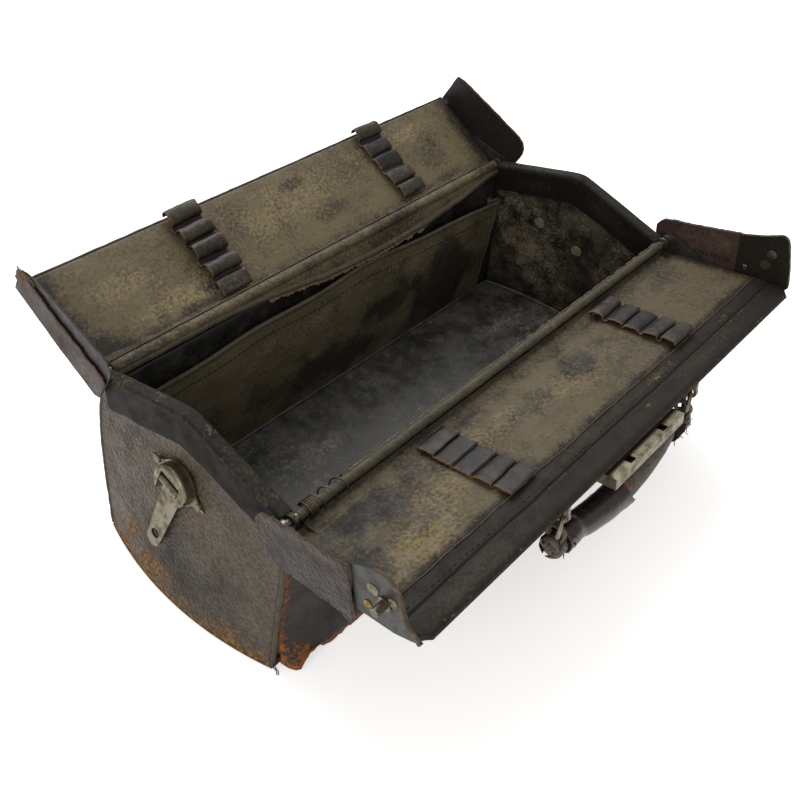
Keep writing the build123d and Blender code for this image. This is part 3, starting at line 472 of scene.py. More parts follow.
def enamel(name, base, bare, rust):
    """Old paint on steel, worn through to metal along its edges."""
    base, bare, rust = tone(base), tone(bare), tone(rust)
    p = Paint(name)
    mottle = p.noise(120.0, 6.0, 0.65)
    fine = p.noise(800.0, 3.0, 0.6)
    colour = p.mix(p.ramp(mottle, 0.4, 0.65), base, shade(base, 0.6))
    chipped = p.ramp(p.noise(160.0, 5.0, 0.7), 0.6, 0.66)
    colour = p.mix(chipped, colour, p.mix(p.ramp(fine, 0.45, 0.6), bare, rust))
    return p.finish(colour, p.ramp(mottle, 0.4, 0.7, 0.35, 0.6), p.math("SUBTRACT", fine, chipped), 0.12)


GRAINED = leather(
    "grained_leather", (40, 34, 28), (90, 78, 62), (124, 108, 84), (162, 118, 60), (92, 70, 48),
    pebble=430.0, depth=0.8, speckle=0.2, gloss=(0.4, 0.62),
)
# The walls' leather: the ends' grained leather made smooth and darker, partly its own darker brown and partly painted
# shade for the front wall, which stands in shade.
SHADED = leather("front_leather", (26, 21, 18), (48, 40, 35), (72, 60, 50), (146, 88, 42), (96, 62, 36), speckle=0.3)
# The grained leather made darker for the flaps, which face the light more: the darkening is painted shade.
FLAP = leather(
    "flap_leather", (33, 27, 23), (63, 53, 45), (88, 76, 66), (104, 80, 56), (88, 68, 46),
    pebble=380.0, depth=0.8, speckle=0.2, gloss=(0.42, 0.62),
)
BROWN = leather(
    "brown_flap_leather", (32, 26, 23), (66, 54, 46), (92, 77, 66), (112, 82, 54), (96, 74, 50),
    speckle=0.35,
)
SHELL = leather(
    "shell_leather", (24, 22, 20), (44, 40, 36), (68, 62, 55), (96, 72, 46), (50, 40, 30),
    pebble=430.0, depth=0.6, speckle=0.2,
)
BAND = leather(
    "band_leather", (17, 15, 12), (35, 31, 24), (60, 54, 41), (108, 94, 54), (48, 42, 32),
    depth=0.4, gloss=(0.52, 0.72), speckle=0.35, shine=0.2,
)
GABLE = leather(
    "gable_leather", (12, 11, 10), (23, 21, 18), (46, 43, 36), (96, 86, 60), (50, 46, 38),
    depth=0.4, gloss=(0.6, 0.8), speckle=0.28, shine=0.14,
)
FLAP_LINING = leather(
    "flap_lining", (16, 13, 14), (36, 29, 28), (70, 54, 48), (110, 86, 58), (90, 80, 52),
    depth=0.35, gloss=(0.36, 0.54), speckle=0.25,
)
RED_LINING = leather(
    "red_flap_lining", (32, 22, 20), (70, 53, 47), (100, 78, 68), (118, 88, 60), (90, 80, 52),
    depth=0.35, gloss=(0.36, 0.54), speckle=0.28,
)
LINING = leather(
    "lining_leather", (36, 31, 25), (97, 86, 62), (132, 117, 84), (160, 130, 66), (56, 48, 36),
    gloss=(0.52, 0.74), speckle=0.42,
)
FRONT_LINING = leather(
    "front_lining_leather", (30, 26, 21), (84, 74, 52), (118, 103, 70), (128, 108, 60), (52, 45, 34),
    gloss=(0.52, 0.74), speckle=0.46,
)
POCKET = leather(
    "pocket_leather", (42, 38, 31), (96, 86, 64), (124, 112, 84), (130, 110, 74), (84, 70, 48),
    depth=0.6, gloss=(0.46, 0.68),
)
PIPING = leather("piping_leather", (36, 33, 27), (72, 66, 51), (102, 93, 71), (112, 90, 58), (92, 76, 52), speckle=0.45)
RIM = leather("rim_leather", (38, 31, 25), (78, 64, 46), (122, 108, 84), (130, 98, 58), (100, 82, 56), speckle=0.5)
STRAP = leather(
    "strap_leather", (20, 17, 14), (44, 38, 29), (84, 74, 57), (96, 72, 46), (108, 84, 56),
    depth=0.35, gloss=(0.34, 0.52), speckle=0.28,
)
GRIP_COVER = leather(
    "handle_leather", (19, 13, 11), (39, 27, 23), (76, 58, 50), (150, 92, 42), (120, 76, 40),
    depth=0.3, gloss=(0.18, 0.36), speckle=0.2, shine=0.5,
)
GRIP_CORE = leather(
    "handle_core", (50, 43, 37), (100, 92, 80), (132, 123, 109), (116, 88, 58), (96, 78, 56),
    gloss=(0.5, 0.75),
)
OILCLOTH = oilcloth("oilcloth", (47, 46, 44), (84, 82, 76), (140, 132, 116), (120, 99, 66))
END_CLOTH = oilcloth("end_oilcloth", (28, 25, 21), (72, 64, 50), (150, 136, 108), (120, 96, 66))
REAR_CLOTH = oilcloth("rear_oilcloth", (20, 19, 17), (38, 36, 31), (88, 82, 70), (84, 70, 48))
NICKEL = metal("nickel", (130, 123, 105), (84, 77, 60), (0.3, 0.5))
STEEL = metal("steel", (122, 118, 110), (66, 62, 54), (0.32, 0.6))
WIRE = metal("binding_wire", (104, 97, 80), (70, 56, 40), (0.4, 0.7))
DULL = metal("dull_washer", (132, 122, 94), (90, 81, 59), (0.5, 0.7), metallic=0.15)
BRASS = metal("brass_rivet", (176, 150, 88), (112, 88, 48), (0.3, 0.5))
ENAMEL = enamel("enamelled_steel", (35, 34, 29), (76, 70, 54), (78, 60, 40))
BOARD = fibre("millboard", (26, 22, 18), (40, 34, 27), 200.0)
THREAD = fibre("thread", (12, 11, 11), (32, 29, 27), 900.0)
FIBRES = fibre("raw_fibres", (84, 70, 48), (132, 114, 84), 700.0)
FRAYED = fibre("frayed_edge", (66, 58, 38), (112, 102, 66), 700.0)


def place(obj, body, material, slot, *nodes, refined=False):
    """Give a piece its body, its material and the CAD nodes it stands for."""
    obj.data.materials.clear()
    obj.data.materials.append(material)
    if refined:
        modifier = obj.modifiers.new("subdivision", "SUBSURF")
        modifier.levels = modifier.render_levels = 1
    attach(obj, body)
    if nodes:
        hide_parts(*nodes)


# Camera, at the photograph's viewing angle, and the studio, in metres
CAMERA_PLACE = (-0.41464, -0.31029, 0.5136)
CAMERA_TURN, CAMERA_RISE, CAMERA_ROLL = radians(-52.63), radians(42.78), radians(6.25)
FOCAL_PIXELS = 928.26
FRAME_PIXELS = 800
SENSOR = 36.0
STUDIO_HALF = 6.0
AIM = (0, 0, 0.05)


def make_camera():
    back = Vector((sin(CAMERA_TURN) * cos(CAMERA_RISE), -cos(CAMERA_TURN) * cos(CAMERA_RISE), sin(CAMERA_RISE)))
    right = Vector((cos(CAMERA_TURN), sin(CAMERA_TURN), 0.0))
    up = back.cross(right)
    c, s = cos(CAMERA_ROLL), sin(CAMERA_ROLL)
    axes = (right * c + up * s, up * c - right * s, back)
    data = bpy.data.cameras.new("camera")
    data.sensor_width = SENSOR
    data.lens = SENSOR * FOCAL_PIXELS / FRAME_PIXELS
    data.clip_start, data.clip_end = 0.01, 20.0
    camera = bpy.data.objects.new("camera", data)
    turned = Matrix((axes[0], axes[1], axes[2])).transposed().to_4x4()
    camera.matrix_world = Matrix.Translation(CAMERA_PLACE) @ turned
    bpy.context.scene.collection.objects.link(camera)
    bpy.context.scene.camera = camera


def area_light(name, place_m, size, watts):
    data = bpy.data.lights.new(name, "AREA")
    data.shape = "SQUARE"
    data.size = size
    data.energy = watts
    lamp = bpy.data.objects.new(name, data)
    lamp.location = place_m
    lamp.rotation_mode = "QUATERNION"
    lamp.rotation_quaternion = (Vector(AIM) - Vector(place_m)).to_track_quat("-Z", "Y")
    bpy.context.scene.collection.objects.link(lamp)


def make_studio():
    """A white floor and world, a large soft lamp above and behind and a weaker one at the camera's side.

    The floor and the world are one brightness for the camera and another for the light that they throw.
    """
    corners = [(x * STUDIO_HALF, y * STUDIO_HALF, 0) for x, y in ((-1, -1), (1, -1), (1, 1), (-1, 1))]
    floor = make_object("floor", corners, [(0, 1, 2, 3)])
    p = Paint("floor")
    p.tree.nodes.clear()
    ray = p.node("LightPath", {}).outputs
    seen = p.math("MAXIMUM", ray["Is Camera Ray"], ray["Is Glossy Ray"])
    thrown = p.node("BsdfDiffuse", {"Color": (0.8, 0.8, 0.8, 1)})
    bright = p.node("BsdfDiffuse", {"Color": (0.86, 0.85, 0.84, 1)})
    glow = p.node("Emission", {"Color": (1, 0.988, 0.975, 1), "Strength": 0.52})
    both = p.node("AddShader", {0: bright.outputs[0], 1: glow.outputs[0]})
    chosen = p.node("MixShader", {0: seen, 1: thrown.outputs[0], 2: both.outputs[0]})
    p.node("OutputMaterial", {0: chosen.outputs[0]})
    floor.data.materials.append(p.material)

    world = bpy.data.worlds.new("studio")
    bpy.context.scene.world = world
    world.use_nodes = True
    tree = world.node_tree
    background = tree.nodes["Background"]
    ray = tree.nodes.new("ShaderNodeLightPath").outputs
    strength = tree.nodes.new("ShaderNodeMapRange")
    tree.links.new(ray["Is Camera Ray"], strength.inputs[0])
    strength.inputs[3].default_value, strength.inputs[4].default_value = 0.55, 1.0
    background.inputs[0].default_value = (1, 1, 1, 1)
    tree.links.new(strength.outputs[0], background.inputs[1])
    area_light("key", (0.5, 0.9, 1.5), 1.4, 24.0)
    area_light("fill", (-1.3, -0.6, 1.0), 1.2, 8.0)


# Body
def rear_belly(z):
    """How far the rear wall and the rear edges of the ends belly out behind, by height."""
    return np.interp(z, (0, 7, 22, 37, 53, 68, 83, 99, 112, 122, 130), (0.5, 2, 4, 6.5, 8.5, 10, 10.6, 10, 7, 3, 0))


def end_walls():
    """The pebbled leather ends, worn orange along the bottom and the front corner."""
    for word, side in ENDS:
        y, share = grid(np.linspace(-END_HALF, END_HALF, 90), np.linspace(0, 1, 96))
        z = WALL_FOOT + share * (gable_top(y) - 2 * WALL_FOOT)
        dent = relief(y, z, 46.0, 3.1 * side) * 0.55 + relief(y, z, 14.0, 9.0) * 0.18
        x = side * (end_x(y, z) + dent * rise(END_HALF - abs(y), 0, 12) * rise(z, 0, 10))
        y = y + rear_belly(z) * np.clip(y / END_HALF, 0, 1) ** 2.5
        low_edge = 1 - rise(z, 1.0, 9.0 + 5.0 * relief(y, z, 30.0, 2.2))
        soft = 0.55 * (1 - rise(z, 6.0, 26.0 + 10.0 * relief(y, z, 40.0, 4.2)))
        rubbed = spots(
            y, z, [(-6, 76, 4, 3, 0.7), (20, 16, 34, 12, 0.7), (60, 26, 20, 12, 0.6), (-74, 88, 3, 16, 0.55),
                   (-74, 50, 2, 10, 0.45), (28, 80, 4, 2.5, 0.6)], side,
        )
        wear = np.maximum(np.maximum(low_edge * 1.1, soft), rubbed)
        stain = spots(y, z, [(-10, 30, 60, 40, 0.45), (50, 110, 30, 20, 0.5)], 4.0)
        obj = sheet(f"{word}_end_leather", stack(x, y, z), 2.0, flip=side < 0, wear=wear, stain=stain)
        place(obj, "base", GRAINED, "grained_leather", f"{word}_end_wall")


def side_walls():
    """Front and rear leather, bellied outwards; the front one hangs torn from its left corner at the floor."""
    for word, side in LONG_SIDES:
        share_x, share_z = grid(np.linspace(-1, 1, 150), np.linspace(0, 1, 48))
        z = WALL_FOOT + share_z * 122.0
        x = share_x * (WALL_X - 3.4 + flare(z))
        ends = 1 - np.abs(share_x) ** 8
        belly = rear_belly(z) if side == REAR else 7.0 * np.sin(pi * share_z ** 0.8) ** 1.2 * ends
        dent = relief(x, z, 60.0, 6.0 + side) * 0.8 * ends * np.sin(pi * share_z)
        y = WALL_HALF + belly + dent
        low_edge = 1 - rise(z, 2.0, 12.0 + 8.0 * relief(x, z, 24.0, 7.7))
        wear = np.maximum(low_edge, rise(abs(share_x), 0.975, 0.998) * 0.7)
        if side == FRONT:
            near_tip = np.exp(-(((x + 203) / 7.0) ** 2))
            hang = (1 - rise(z, 0, 40)) * (1 - rise(x, -120, -40)) * rise(x, -212, -190)
            y = y + 8.0 * near_tip * (1 - rise(z, 0, 26)) + 13.0 * hang
            torn = 3.0 * np.abs(relief(x, 0, 5.0, 2.0)) + 2.4 * np.abs(relief(x, 0, 1.9, 5.0))
            torn = torn + 8.0 * rise(x, -202, -193) * (1 - rise(x, -190, -172)) + 9.0 * (1 - rise(x, -211, -204))
            z = z + torn * (1 - rise(z, WALL_FOOT, 14)) * (1 - rise(x, -190, -110) * 0.7)
            wear = np.maximum(wear, 0.62 * np.exp(-(((x + 198) / 12.0) ** 2)) * (1 - rise(z, 10, 34)))
        stain = spots(x, z, [(-120, 60, 70, 50, 0.5), (90, 40, 80, 30, 0.45)], 8.0)
        obj = sheet(f"{word}_leather", stack(x, side * y, z), 2.0, flip=side > 0, wear=wear, stain=stain)
        # The darker colours of this leather are partly painted shade.
        place(obj, "base", SHADED, "grained_leather", f"{word}_wall")


def base_leather():
    """The sole of the bag, flat, with bowed ends."""
    share, y = grid(np.linspace(-1, 1, 100), np.linspace(-WALL_HALF + 0.4, WALL_HALF - 0.4, 40))
    x = share * (WALL_X + FLARE + BULGE * (1 - (y / WALL_HALF) ** 2) - 0.6)
    obj = sheet("base_leather", stack(x, y, 0), back=stack(x, y, 1.9), flip=True, wear=0.6 + 0 * x)
    place(obj, "base", GRAINED, "grained_leather", "base_cover")


def corner_cords():
    """Grey piping down the four corners, cracked, one with a loose thread end."""
    made = []
    z = np.linspace(2.6, 118.0, 70)
    for side_x in (LEFT, RIGHT):
        for side_y in (FRONT, REAR):
            y = side_y * (78.9 + (rear_belly(z) * 0.97 if side_y == REAR else 0))
            radius = 1.75 + 0.18 * relief(z, 0, 6.0, side_x + 2 * side_y)
            made.append(tube(f"cord_{side_x}_{side_y}", stack(side_x * (198.7 + flare(z)), y, z), radius, 10))
    place(join("corner_cords", made), "base", PIPING, "piping_leather", "corner_piping")
    loose = np.array([(-210.8, -80.2, 5.0), (-212.0, -81.5, 3.0), (-211.6, -83.4, 1.6), (-213.0, -85.5, 0.9)]) * MM
    place(strands("cord_thread_end", [loose, loose + np.array([0.6, -0.8, 0.4]) * MM], 0.35), "base", THREAD, "thread")


def gable_bands():
    """The leather band folded over each gable: outside, top and inside in one strip."""
    outer, inner, turn = 201.0, 193.0, 1.4
    arc = np.linspace(0, pi / 2, 5)
    section = [(outer, d) for d in np.linspace(24.6, turn - 1, 10)]
    section += [(outer - turn + turn * cos(a), turn - 1 - turn * sin(a)) for a in arc[1:]]
    section += [(inner + turn - turn * sin(a), turn - 1 - turn * cos(a)) for a in arc]
    section += [(inner, d) for d in np.linspace(turn, 21.6, 9)]
    section_x, drops = np.array(section).T
    for word, side in ENDS:
        y, drop = grid(np.linspace(-END_HALF, END_HALF, 100), drops)
        ripple = relief(y, drop, 24.0, side * 2.0) * 0.3
        hem = np.zeros_like(y)
        hem[:, 0] = relief(y[:, 0], 0, 16.0, 4.4) * 0.9
        hem[:, -1] = relief(y[:, 0], 0, 14.0, 8.4) * 0.8
        x = side * (section_x + ripple * 0.6 * np.sign(section_x - (outer + inner) / 2))
        top = np.exp(-((drop + 0.5) / 2.2) ** 2)
        wear = top * (0.27 + 0.22 * relief(y, 0, 18.0, 1.0))
        pale = spots(y, drop, [(-30, 8, 30, 8, 0.6), (40, 12, 26, 7, 0.6), (0, 5, 12, 5, 0.5)], side)
        pale = np.maximum(pale, np.clip(1.3 * top, 0, 1))
        points = stack(x, y, gable_top(y) - drop + hem)
        obj = sheet(f"{word}_gable_band", points, 1.0, flip=side > 0, wear=wear, pale=pale)
        place(obj, "base", GABLE, "band_leather", f"{word}_gable_trim", refined=True)


def inner_linings():
    """Oilcloth on the floor, the ends and the two long sides."""
    share, y = grid(np.linspace(-1, 1, 150), np.linspace(-76.2, 76.2, 70))
    x = share * (206.0 + 11.0 * (1 - (y / END_HALF) ** 2) - 1.0)
    buckle = relief(x, y, 60.0, 2.0) * 0.5 + relief(x, y, 17.0, 7.0) * 0.22
    z = FLOOR_Z - 0.45 + buckle * 0.8 * rise(76 - abs(y), 0, 10)
    wear = spots(
        x, y, [(-176, -30, 20, 18, 0.75), (-150, -52, 36, 12, 0.8), (-120, -60, 30, 8, 0.7), (-60, -66, 60, 6, 0.6),
               (-30, -10, 5, 4, 0.8), (-120, -6, 6, 4, 0.7), (60, -68, 60, 5, 0.5), (30, -40, 7, 4, 0.7)], 3.0,
    )
    pale = spots(
        x, y, [(-150, -22, 16, 10, 0.6), (40, 10, 60, 22, 0.3), (110, -20, 50, 22, 0.4), (-30, 0, 12, 8, 0.45),
               (60, -24, 16, 6, 0.8), (-10, 26, 6, 3, 0.9), (-70, 30, 30, 14, 0.2), (150, 30, 30, 16, 0.4)], 6.0,
    )
    floor = sheet("floor_oilcloth", stack(x, y, z), 0.8, wear=wear, pale=pale)
    place(floor, "base", OILCLOTH, "oilcloth", "floor_lining")
    y_end = np.linspace(-75.0, 75.0, 40)
    x_end = 204.0 + 11.0 * (1 - (y_end / END_HALF) ** 2) - 0.8
    x_side = np.linspace(-202.0, 202.0, 60)
    loop = np.concatenate([
        stack(x_end, y_end, 7.0), stack(x_side[::-1], 75.6, 7.0),
        stack(-x_end[::-1], y_end[::-1], 7.0), stack(x_side, -75.6, 7.0),
    ])
    seam = tube("floor_seam", loop, 1.7 + 0.2 * relief(np.arange(len(loop)) * 2.0, 0, 9.0, 2.0), 8)
    place(seam, "base", OILCLOTH, "oilcloth")

    for word, side in ENDS:
        y, share = grid(np.linspace(-76.4, 76.4, 60), np.linspace(0, 1, 50))
        z = 6.2 + share * (gable_top(y) - 10.0)
        x = side * (end_x(y, z, -5.9) + relief(y, z, 30.0, side) * 0.18)
        pale = spots(y, z, [(10, 96, 14, 10, 0.35), (-34, 70, 14, 12, 0.3), (30, 60, 20, 14, 0.3)], side)
        obj = sheet(f"{word}_end_oilcloth", stack(x, y, z), 0.8, flip=side > 0, pale=pale)
        place(obj, "base", END_CLOTH, "oilcloth", f"{word}_end_lining")
    for word, side in LONG_SIDES:
        share_x, share_z = grid(np.linspace(-1, 1, 110), np.linspace(0, 1, 26))
        z = 6.4 + share_z * 116.6
        x = share_x * (193.6 + flare(z))
        y = side * (77.1 + relief(x, z, 40.0, side + 3.0) * 0.1)
        obj = sheet(f"{word}_oilcloth", stack(x, y, z), 0.8, flip=side < 0)
        place(obj, "base", REAR_CLOTH if side == REAR else OILCLOTH, "oilcloth", f"{word}_lining")


def pocket_line(x):
    """Where the pocket's mouth runs: its y and z, slack and lifted in the middle."""
    y = np.interp(x, (-183, -120, -40, 40, 110, 183), (73.0, 71.0, 70.0, 70.0, 68.5, 66.8))
    z = np.interp(x, (-183, -150, -100, -40, 20, 80, 130, 183), (101, 103, 106.5, 109.5, 110.5, 108.5, 105, 101.5))
    wave = 1.0 * np.sin(x / 19.0) * (1 - (x / POCKET_HALF) ** 2)
    return y + 0.5 * wave, z + wave


def pocket():
    """A slack leather pocket along the rear wall, with a bound mouth and folded end gussets."""
    x_line = np.linspace(-POCKET_HALF, POCKET_HALF, 150)
    top_y, top_z = pocket_line(x_line)
    x, share = grid(x_line, np.linspace(0, 1, 44))
    z = POCKET_FOOT + share * (top_z[:, None] - POCKET_FOOT)
    bulge = np.sin(pi * share)
    belly = bulge ** 0.8 * (2.2 + 1.6 * np.sin(x / 61.0))
    fold = relief(x, z * 0.45, 52.0, 12.0) * 2.2 * bulge
    crease = relief(x * 0.4, z, 16.0, 15.0) * 0.7 * bulge ** 0.5
    y = POCKET_BACK + (top_y[:, None] - POCKET_BACK) * share ** 1.15 - belly - fold - crease
    stain = spots(
        x, z, [(-150, 40, 50, 40, 0.5), (-20, 30, 80, 24, 0.6), (120, 50, 60, 60, 0.9), (60, 60, 40, 30, 0.6)], 2.0
    )
    pale = spots(x, z, [(-60, 84, 70, 16, 0.5), (60, 92, 60, 10, 0.4)], 5.0)
    obj = sheet("pocket_leather", stack(x, y, z), 1.3, stain=stain, pale=pale)
    place(obj, "base", POCKET, "pocket_leather", "pocket_panel")
    row = int(0.9 * (x.shape[1] - 1))
    line = stack(x[:, row], y[:, row] - 0.25, z[:, row])
    place(stitches("pocket_stitches", line, (0, -1, 0), 2.6, 1.6, 0.3), "base", THREAD, "thread")
    made, beads = [], []
    for end, side in ((0, LEFT), (-1, RIGHT)):
        reach, gz = grid(np.linspace(0, 1, 24), np.linspace(POCKET_FOOT, 101.0, 34))
        near_y = np.interp(gz, z[end], y[end])
        gy = near_y + reach * (76.4 - near_y)
        gx = side * (187.6 + np.sin(reach * 2 * pi) * 4.2 * rise(gz, 20, 95))
        gx[0, :] = side * 183.4
        made.append(sheet(f"gusset_{side}", stack(gx, gy, gz), 1.0, flip=side < 0))
        beads.append(stack(gx[:, -1], gy[:, -1], gz[:, -1] + 0.4))
    place(join("pocket_ends", made), "base", POCKET, "pocket_leather", "pocket_gussets")
    mouth = np.concatenate([beads[0][::-1], stack(x_line, top_y + 0.5, top_z), beads[1]])
    radius = 1.7 + 0.25 * relief(mouth[:, 0] / MM, 0, 9.0, 3.0)
    place(tube("pocket_binding", mouth, radius, 12, squash=1.2), "base", PIPING, "piping_leather")


def ragged_strip(name, roots, outward, down, width, seed):
    """A torn strip of raw leather along a line of roots, bending from one direction into another."""
    share = np.linspace(0, 1, 6)
    x = roots[:, 0] / MM
    reach = width * (0.55 + 0.45 * relief(x, 0, 7.0, seed) + 0.35 * relief(x, 0, 2.2, seed + 3))
    reach = np.clip(reach, 0.25, None)[:, None] * share
    turn = share[:, None] ** 1.3
    way = outward * (1 - turn * 0.7) + down * turn
    points = roots[:, None, :] + way * reach[..., None] * MM
    return sheet(name, points, 0.4, rim_out=0.2)


def rod_wraps():
    """Thin leather rolled round both rods, torn along its edge; the rear one hangs in a slack fold."""
    x_line = np.linspace(-ROD_WRAP, ROD_WRAP, 260)
    sides = 16
    xs, angles = grid(x_line, np.linspace(0, 2 * pi, sides, endpoint=False))
    for word, side in LONG_SIDES:
        y = side * HINGE_Y
        radius = 3.25 + 0.3 * relief(xs, angles * 6.0, 14.0, 2.0 + y)
        pale = np.clip(relief(x_line, 0, 30.0, y), 0, 1) * 0.6
        wrap = tube(f"{word}_rod_wrap", stack(x_line, y, HINGE_Z), radius, sides, pale=pale)
        place(wrap, "base", PIPING, "piping_leather", f"{word}_rod_piping")
    x_edge = np.linspace(-150, ROD_WRAP - 2, 420)
    roots = stack(x_edge, -HINGE_Y + 3.0, HINGE_Z + 1.9 + 0.3 * relief(x_edge, 0, 20.0))
    torn = ragged_strip("front_rod_torn_edge", roots, np.array([0.0, 1.0, 0.25]), np.array([0.0, 0.35, -0.9]), 2.6, 1.0)
    place(torn, "base", FIBRES, "thread")

    stations = (-192, -100, -60, -20, 20, 60, 100, 130, 165, 192)
    sag = np.interp(x_line, stations, (1.5, 2, 7, 14, 18, 18.5, 17, 13, 8, 2.5))
    kernel = np.ones(25) / 25
    sag = np.convolve(np.pad(sag, 12, "edge"), kernel, "valid") + 0.6 * relief(x_line, 0, 26.0, 4.0)
    roll_y = HINGE_Y - 2.2 - 0.32 * sag
    roll_z = HINGE_Z - 1.2 - 0.66 * sag
    share = np.linspace(0, 1, 12)
    over = np.radians(np.linspace(40, 205, 14))
    lift = 3.8 + 0.08 * relief(x_line[:, None], np.degrees(over) * 0.1, 24.0, 8.0)
    over_y = HINGE_Y + lift * np.cos(over)
    over_z = HINGE_Z + lift * np.sin(over)
    start_y, start_z = over_y[:, -1:], over_z[:, -1:]
    fold_y = start_y + (roll_y[:, None] - start_y) * share - 0.6 * np.sin(pi * share)
    fold_z = start_z + (roll_z[:, None] - start_z) * share
    fold_y = np.concatenate([over_y, fold_y[:, 1:]], axis=1)
    fold_z = np.concatenate([over_z, fold_z[:, 1:]], axis=1)
    # Painted shadow on the slack fold, darker than the lid lining it hangs from.
    dusk = 0.35 + 0.25 * relief(x_line[:, None], fold_z, 30.0, 3.0)
    fold = sheet("rear_hinge_fold", stack(x_line[:, None], fold_y, fold_z), 0.4, stain=dusk)
    place(fold, "base", LINING, "piping_leather")
    radius = 2.7 + 0.35 * relief(xs, angles * 6.0, 12.0, 9.0)
    pale = np.clip(relief(x_line, 0, 26.0, 3.0), 0, 1) * 0.7
    roll = tube("rear_hinge_roll", stack(x_line, roll_y, roll_z), radius, sides, pale=pale)
    place(roll, "base", PIPING, "piping_leather")
    x_edge = np.linspace(-70, 95, 240)
    roots = stack(x_edge, np.interp(x_edge, x_line, roll_y) - 2.0, np.interp(x_edge, x_line, roll_z) - 1.4)
    torn = ragged_strip("rear_hinge_torn_edge", roots, np.array([0, -0.9, -0.5]), np.array([0, -0.1, -1.0]), 2.4, 6.0)
    place(torn, "base", FIBRES, "thread")


def lining_lip():
    """Each lid's lining carried up behind its rod; the rear one goes on over the top of it."""
    for side, last, base, vary, wave, seed, rise_to, foot_w, dusk in (
        (REAR, 10, 5.5, 0.15, 18.0, 3.0, 3.6, (-8.0, -7.1, -6.3, -5.7), (0.45, 0.1)),
        (FRONT, -32, 4.9, 0.25, 22.0, 6.0, 3.4, (-9.0, -8.1, -7.0, -5.7), (0.15, 1.0)),
    ):
        x, angle = grid(np.linspace(-190.0, 190.0, 160), np.radians(np.linspace(-80, last, 12)))
        reach = base + vary * relief(x, np.degrees(angle) * 0.1, wave, seed)
        edge = np.where(angle > radians(4), 0.6 * relief(x, 0, 8.0, 7.0), 0)
        lip = lid_point(side, x, reach * np.cos(angle), reach * np.sin(angle) + edge)
        foot = lid_point(side, x[:, :4], np.array([15.0, 11.0, 7.0, rise_to]), np.array(foot_w))
        points = np.concatenate([foot, lip], axis=1)
        # Painted shade along each lip: the rear one is darkest at its foot by the pad, the front one darkest at its
        # edge against the rod.
        stain = np.repeat(np.linspace(*dusk, points.shape[1])[None, :], len(points), axis=0)
        obj = sheet(f"{LID[side]}_lip", points, 0.8, flip=side == REAR, stain=stain)
        place(obj, LID[side], LINING if side == REAR else FRONT_LINING, "lining_leather")


# Lids
def lid_pad(side, half, far, back, edge, crown, masks, folds):
    """A padded lining: crowned, drawn in at its seams and creased by use."""
    x, u = grid(np.linspace(-half, half, 200), np.linspace(PAD_NEAR, far, 64))
    sx, su = x / half, (u - (PAD_NEAR + far) / 2) / ((far - PAD_NEAR) / 2)
    pillow = (1 - np.abs(sx) ** 12) * (1 - np.abs(su) ** 5)
    crease = relief(x, u, 34.0, folds) * 0.5 + relief(x * 0.5, u, 9.0, folds + 4) * 0.25
    pucker = 0.3 * np.sin(x / 3.2 + 3 * relief(x, u, 40.0, folds + 1)) * np.exp(-((1 - np.abs(su)) * 9))
    w = edge + (crown - edge - 0.5) * pillow + (crease * 0.5 + pucker * 0.5) * rise(1 - np.abs(su), 0.0, 0.1)
    front = lid_point(side, x, u, np.minimum(w, crown))
    obj = sheet(f"{LID[side]}_padding", front, back=lid_point(side, x, u, back), flip=side < 0, **masks(x, u))
    place(obj, LID[side], LINING if side == REAR else FRONT_LINING, "lining_leather", f"{LID[side]}_lining")


def rear_masks(x, u):
    # The long spots close to the rod (u 4 to 8) and the border near the rod are painted shadow in the fold by the rod.
    # The border also darkens towards both ends, and the other spots are stains.
    stain = spots(
        x, u, [(-180, 10, 22, 16, 1.0), (-120, 6, 60, 10, 0.7), (-20, 4, 120, 6, 0.7), (120, 8, 70, 10, 0.8),
               (-84, 22, 20, 10, 0.8), (-72, 50, 9, 18, 0.5), (10, 62, 16, 6, 0.5), (150, 40, 22, 26, 0.4),
               (24, 30, 24, 8, 0.35), (-140, 14, 8, 14, 0.5)], 1.0,
    )
    border = np.maximum(rise(-x, 178, 199), 0.8 * (1 - rise(u, 2, 16)))
    stain = np.maximum(stain, np.maximum(border, 0.7 * rise(x, 184, 200)) * (0.75 + 0.35 * relief(x, u, 20.0, 1.5)))
    pale = spots(
        x, u, [(-110, 22, 50, 12, 0.8), (0, 50, 70, 20, 0.6), (-150, 48, 30, 14, 0.6), (130, 60, 60, 10, 0.6)], 2.0,
    )
    return {"stain": stain, "pale": pale}


def front_masks(x, u):
    stain = spots(
        x, u, [(-160, 20, 54, 20, 0.8), (-160, 44, 50, 30, 0.3), (-60, 8, 90, 9, 0.5), (60, 10, 80, 10, 0.5),
               (30, 32, 34, 13, 0.5), (-22, 36, 30, 12, 0.55), (-110, 20, 30, 16, 0.45), (-186, 46, 14, 20, 0.5),
               (160, 22, 20, 16, 0.4)], 3.0,
    )
    # The border darkens towards the band, the ends and the rod.
    border = np.maximum(rise(u, 66, 73), np.maximum(0.8 * rise(np.abs(x), 192, 204), 0.6 * (1 - rise(u, 2, 14))))
    stain = np.maximum(stain, border * (0.8 + 0.4 * relief(x, u, 20.0, 2.5)))
    pale = spots(
        x, u, [(-120, 44, 40, 16, 0.7), (-160, 56, 40, 14, 1.0), (10, 40, 60, 16, 0.5), (-60, 30, 40, 12, 0.6)], 4.0,
    )
    wear = spots(x, u, [(-160, 57, 32, 12, 0.5), (-100, 64, 30, 5, 0.4)], 5.0)
    return {"stain": stain, "pale": pale, "wear": wear}


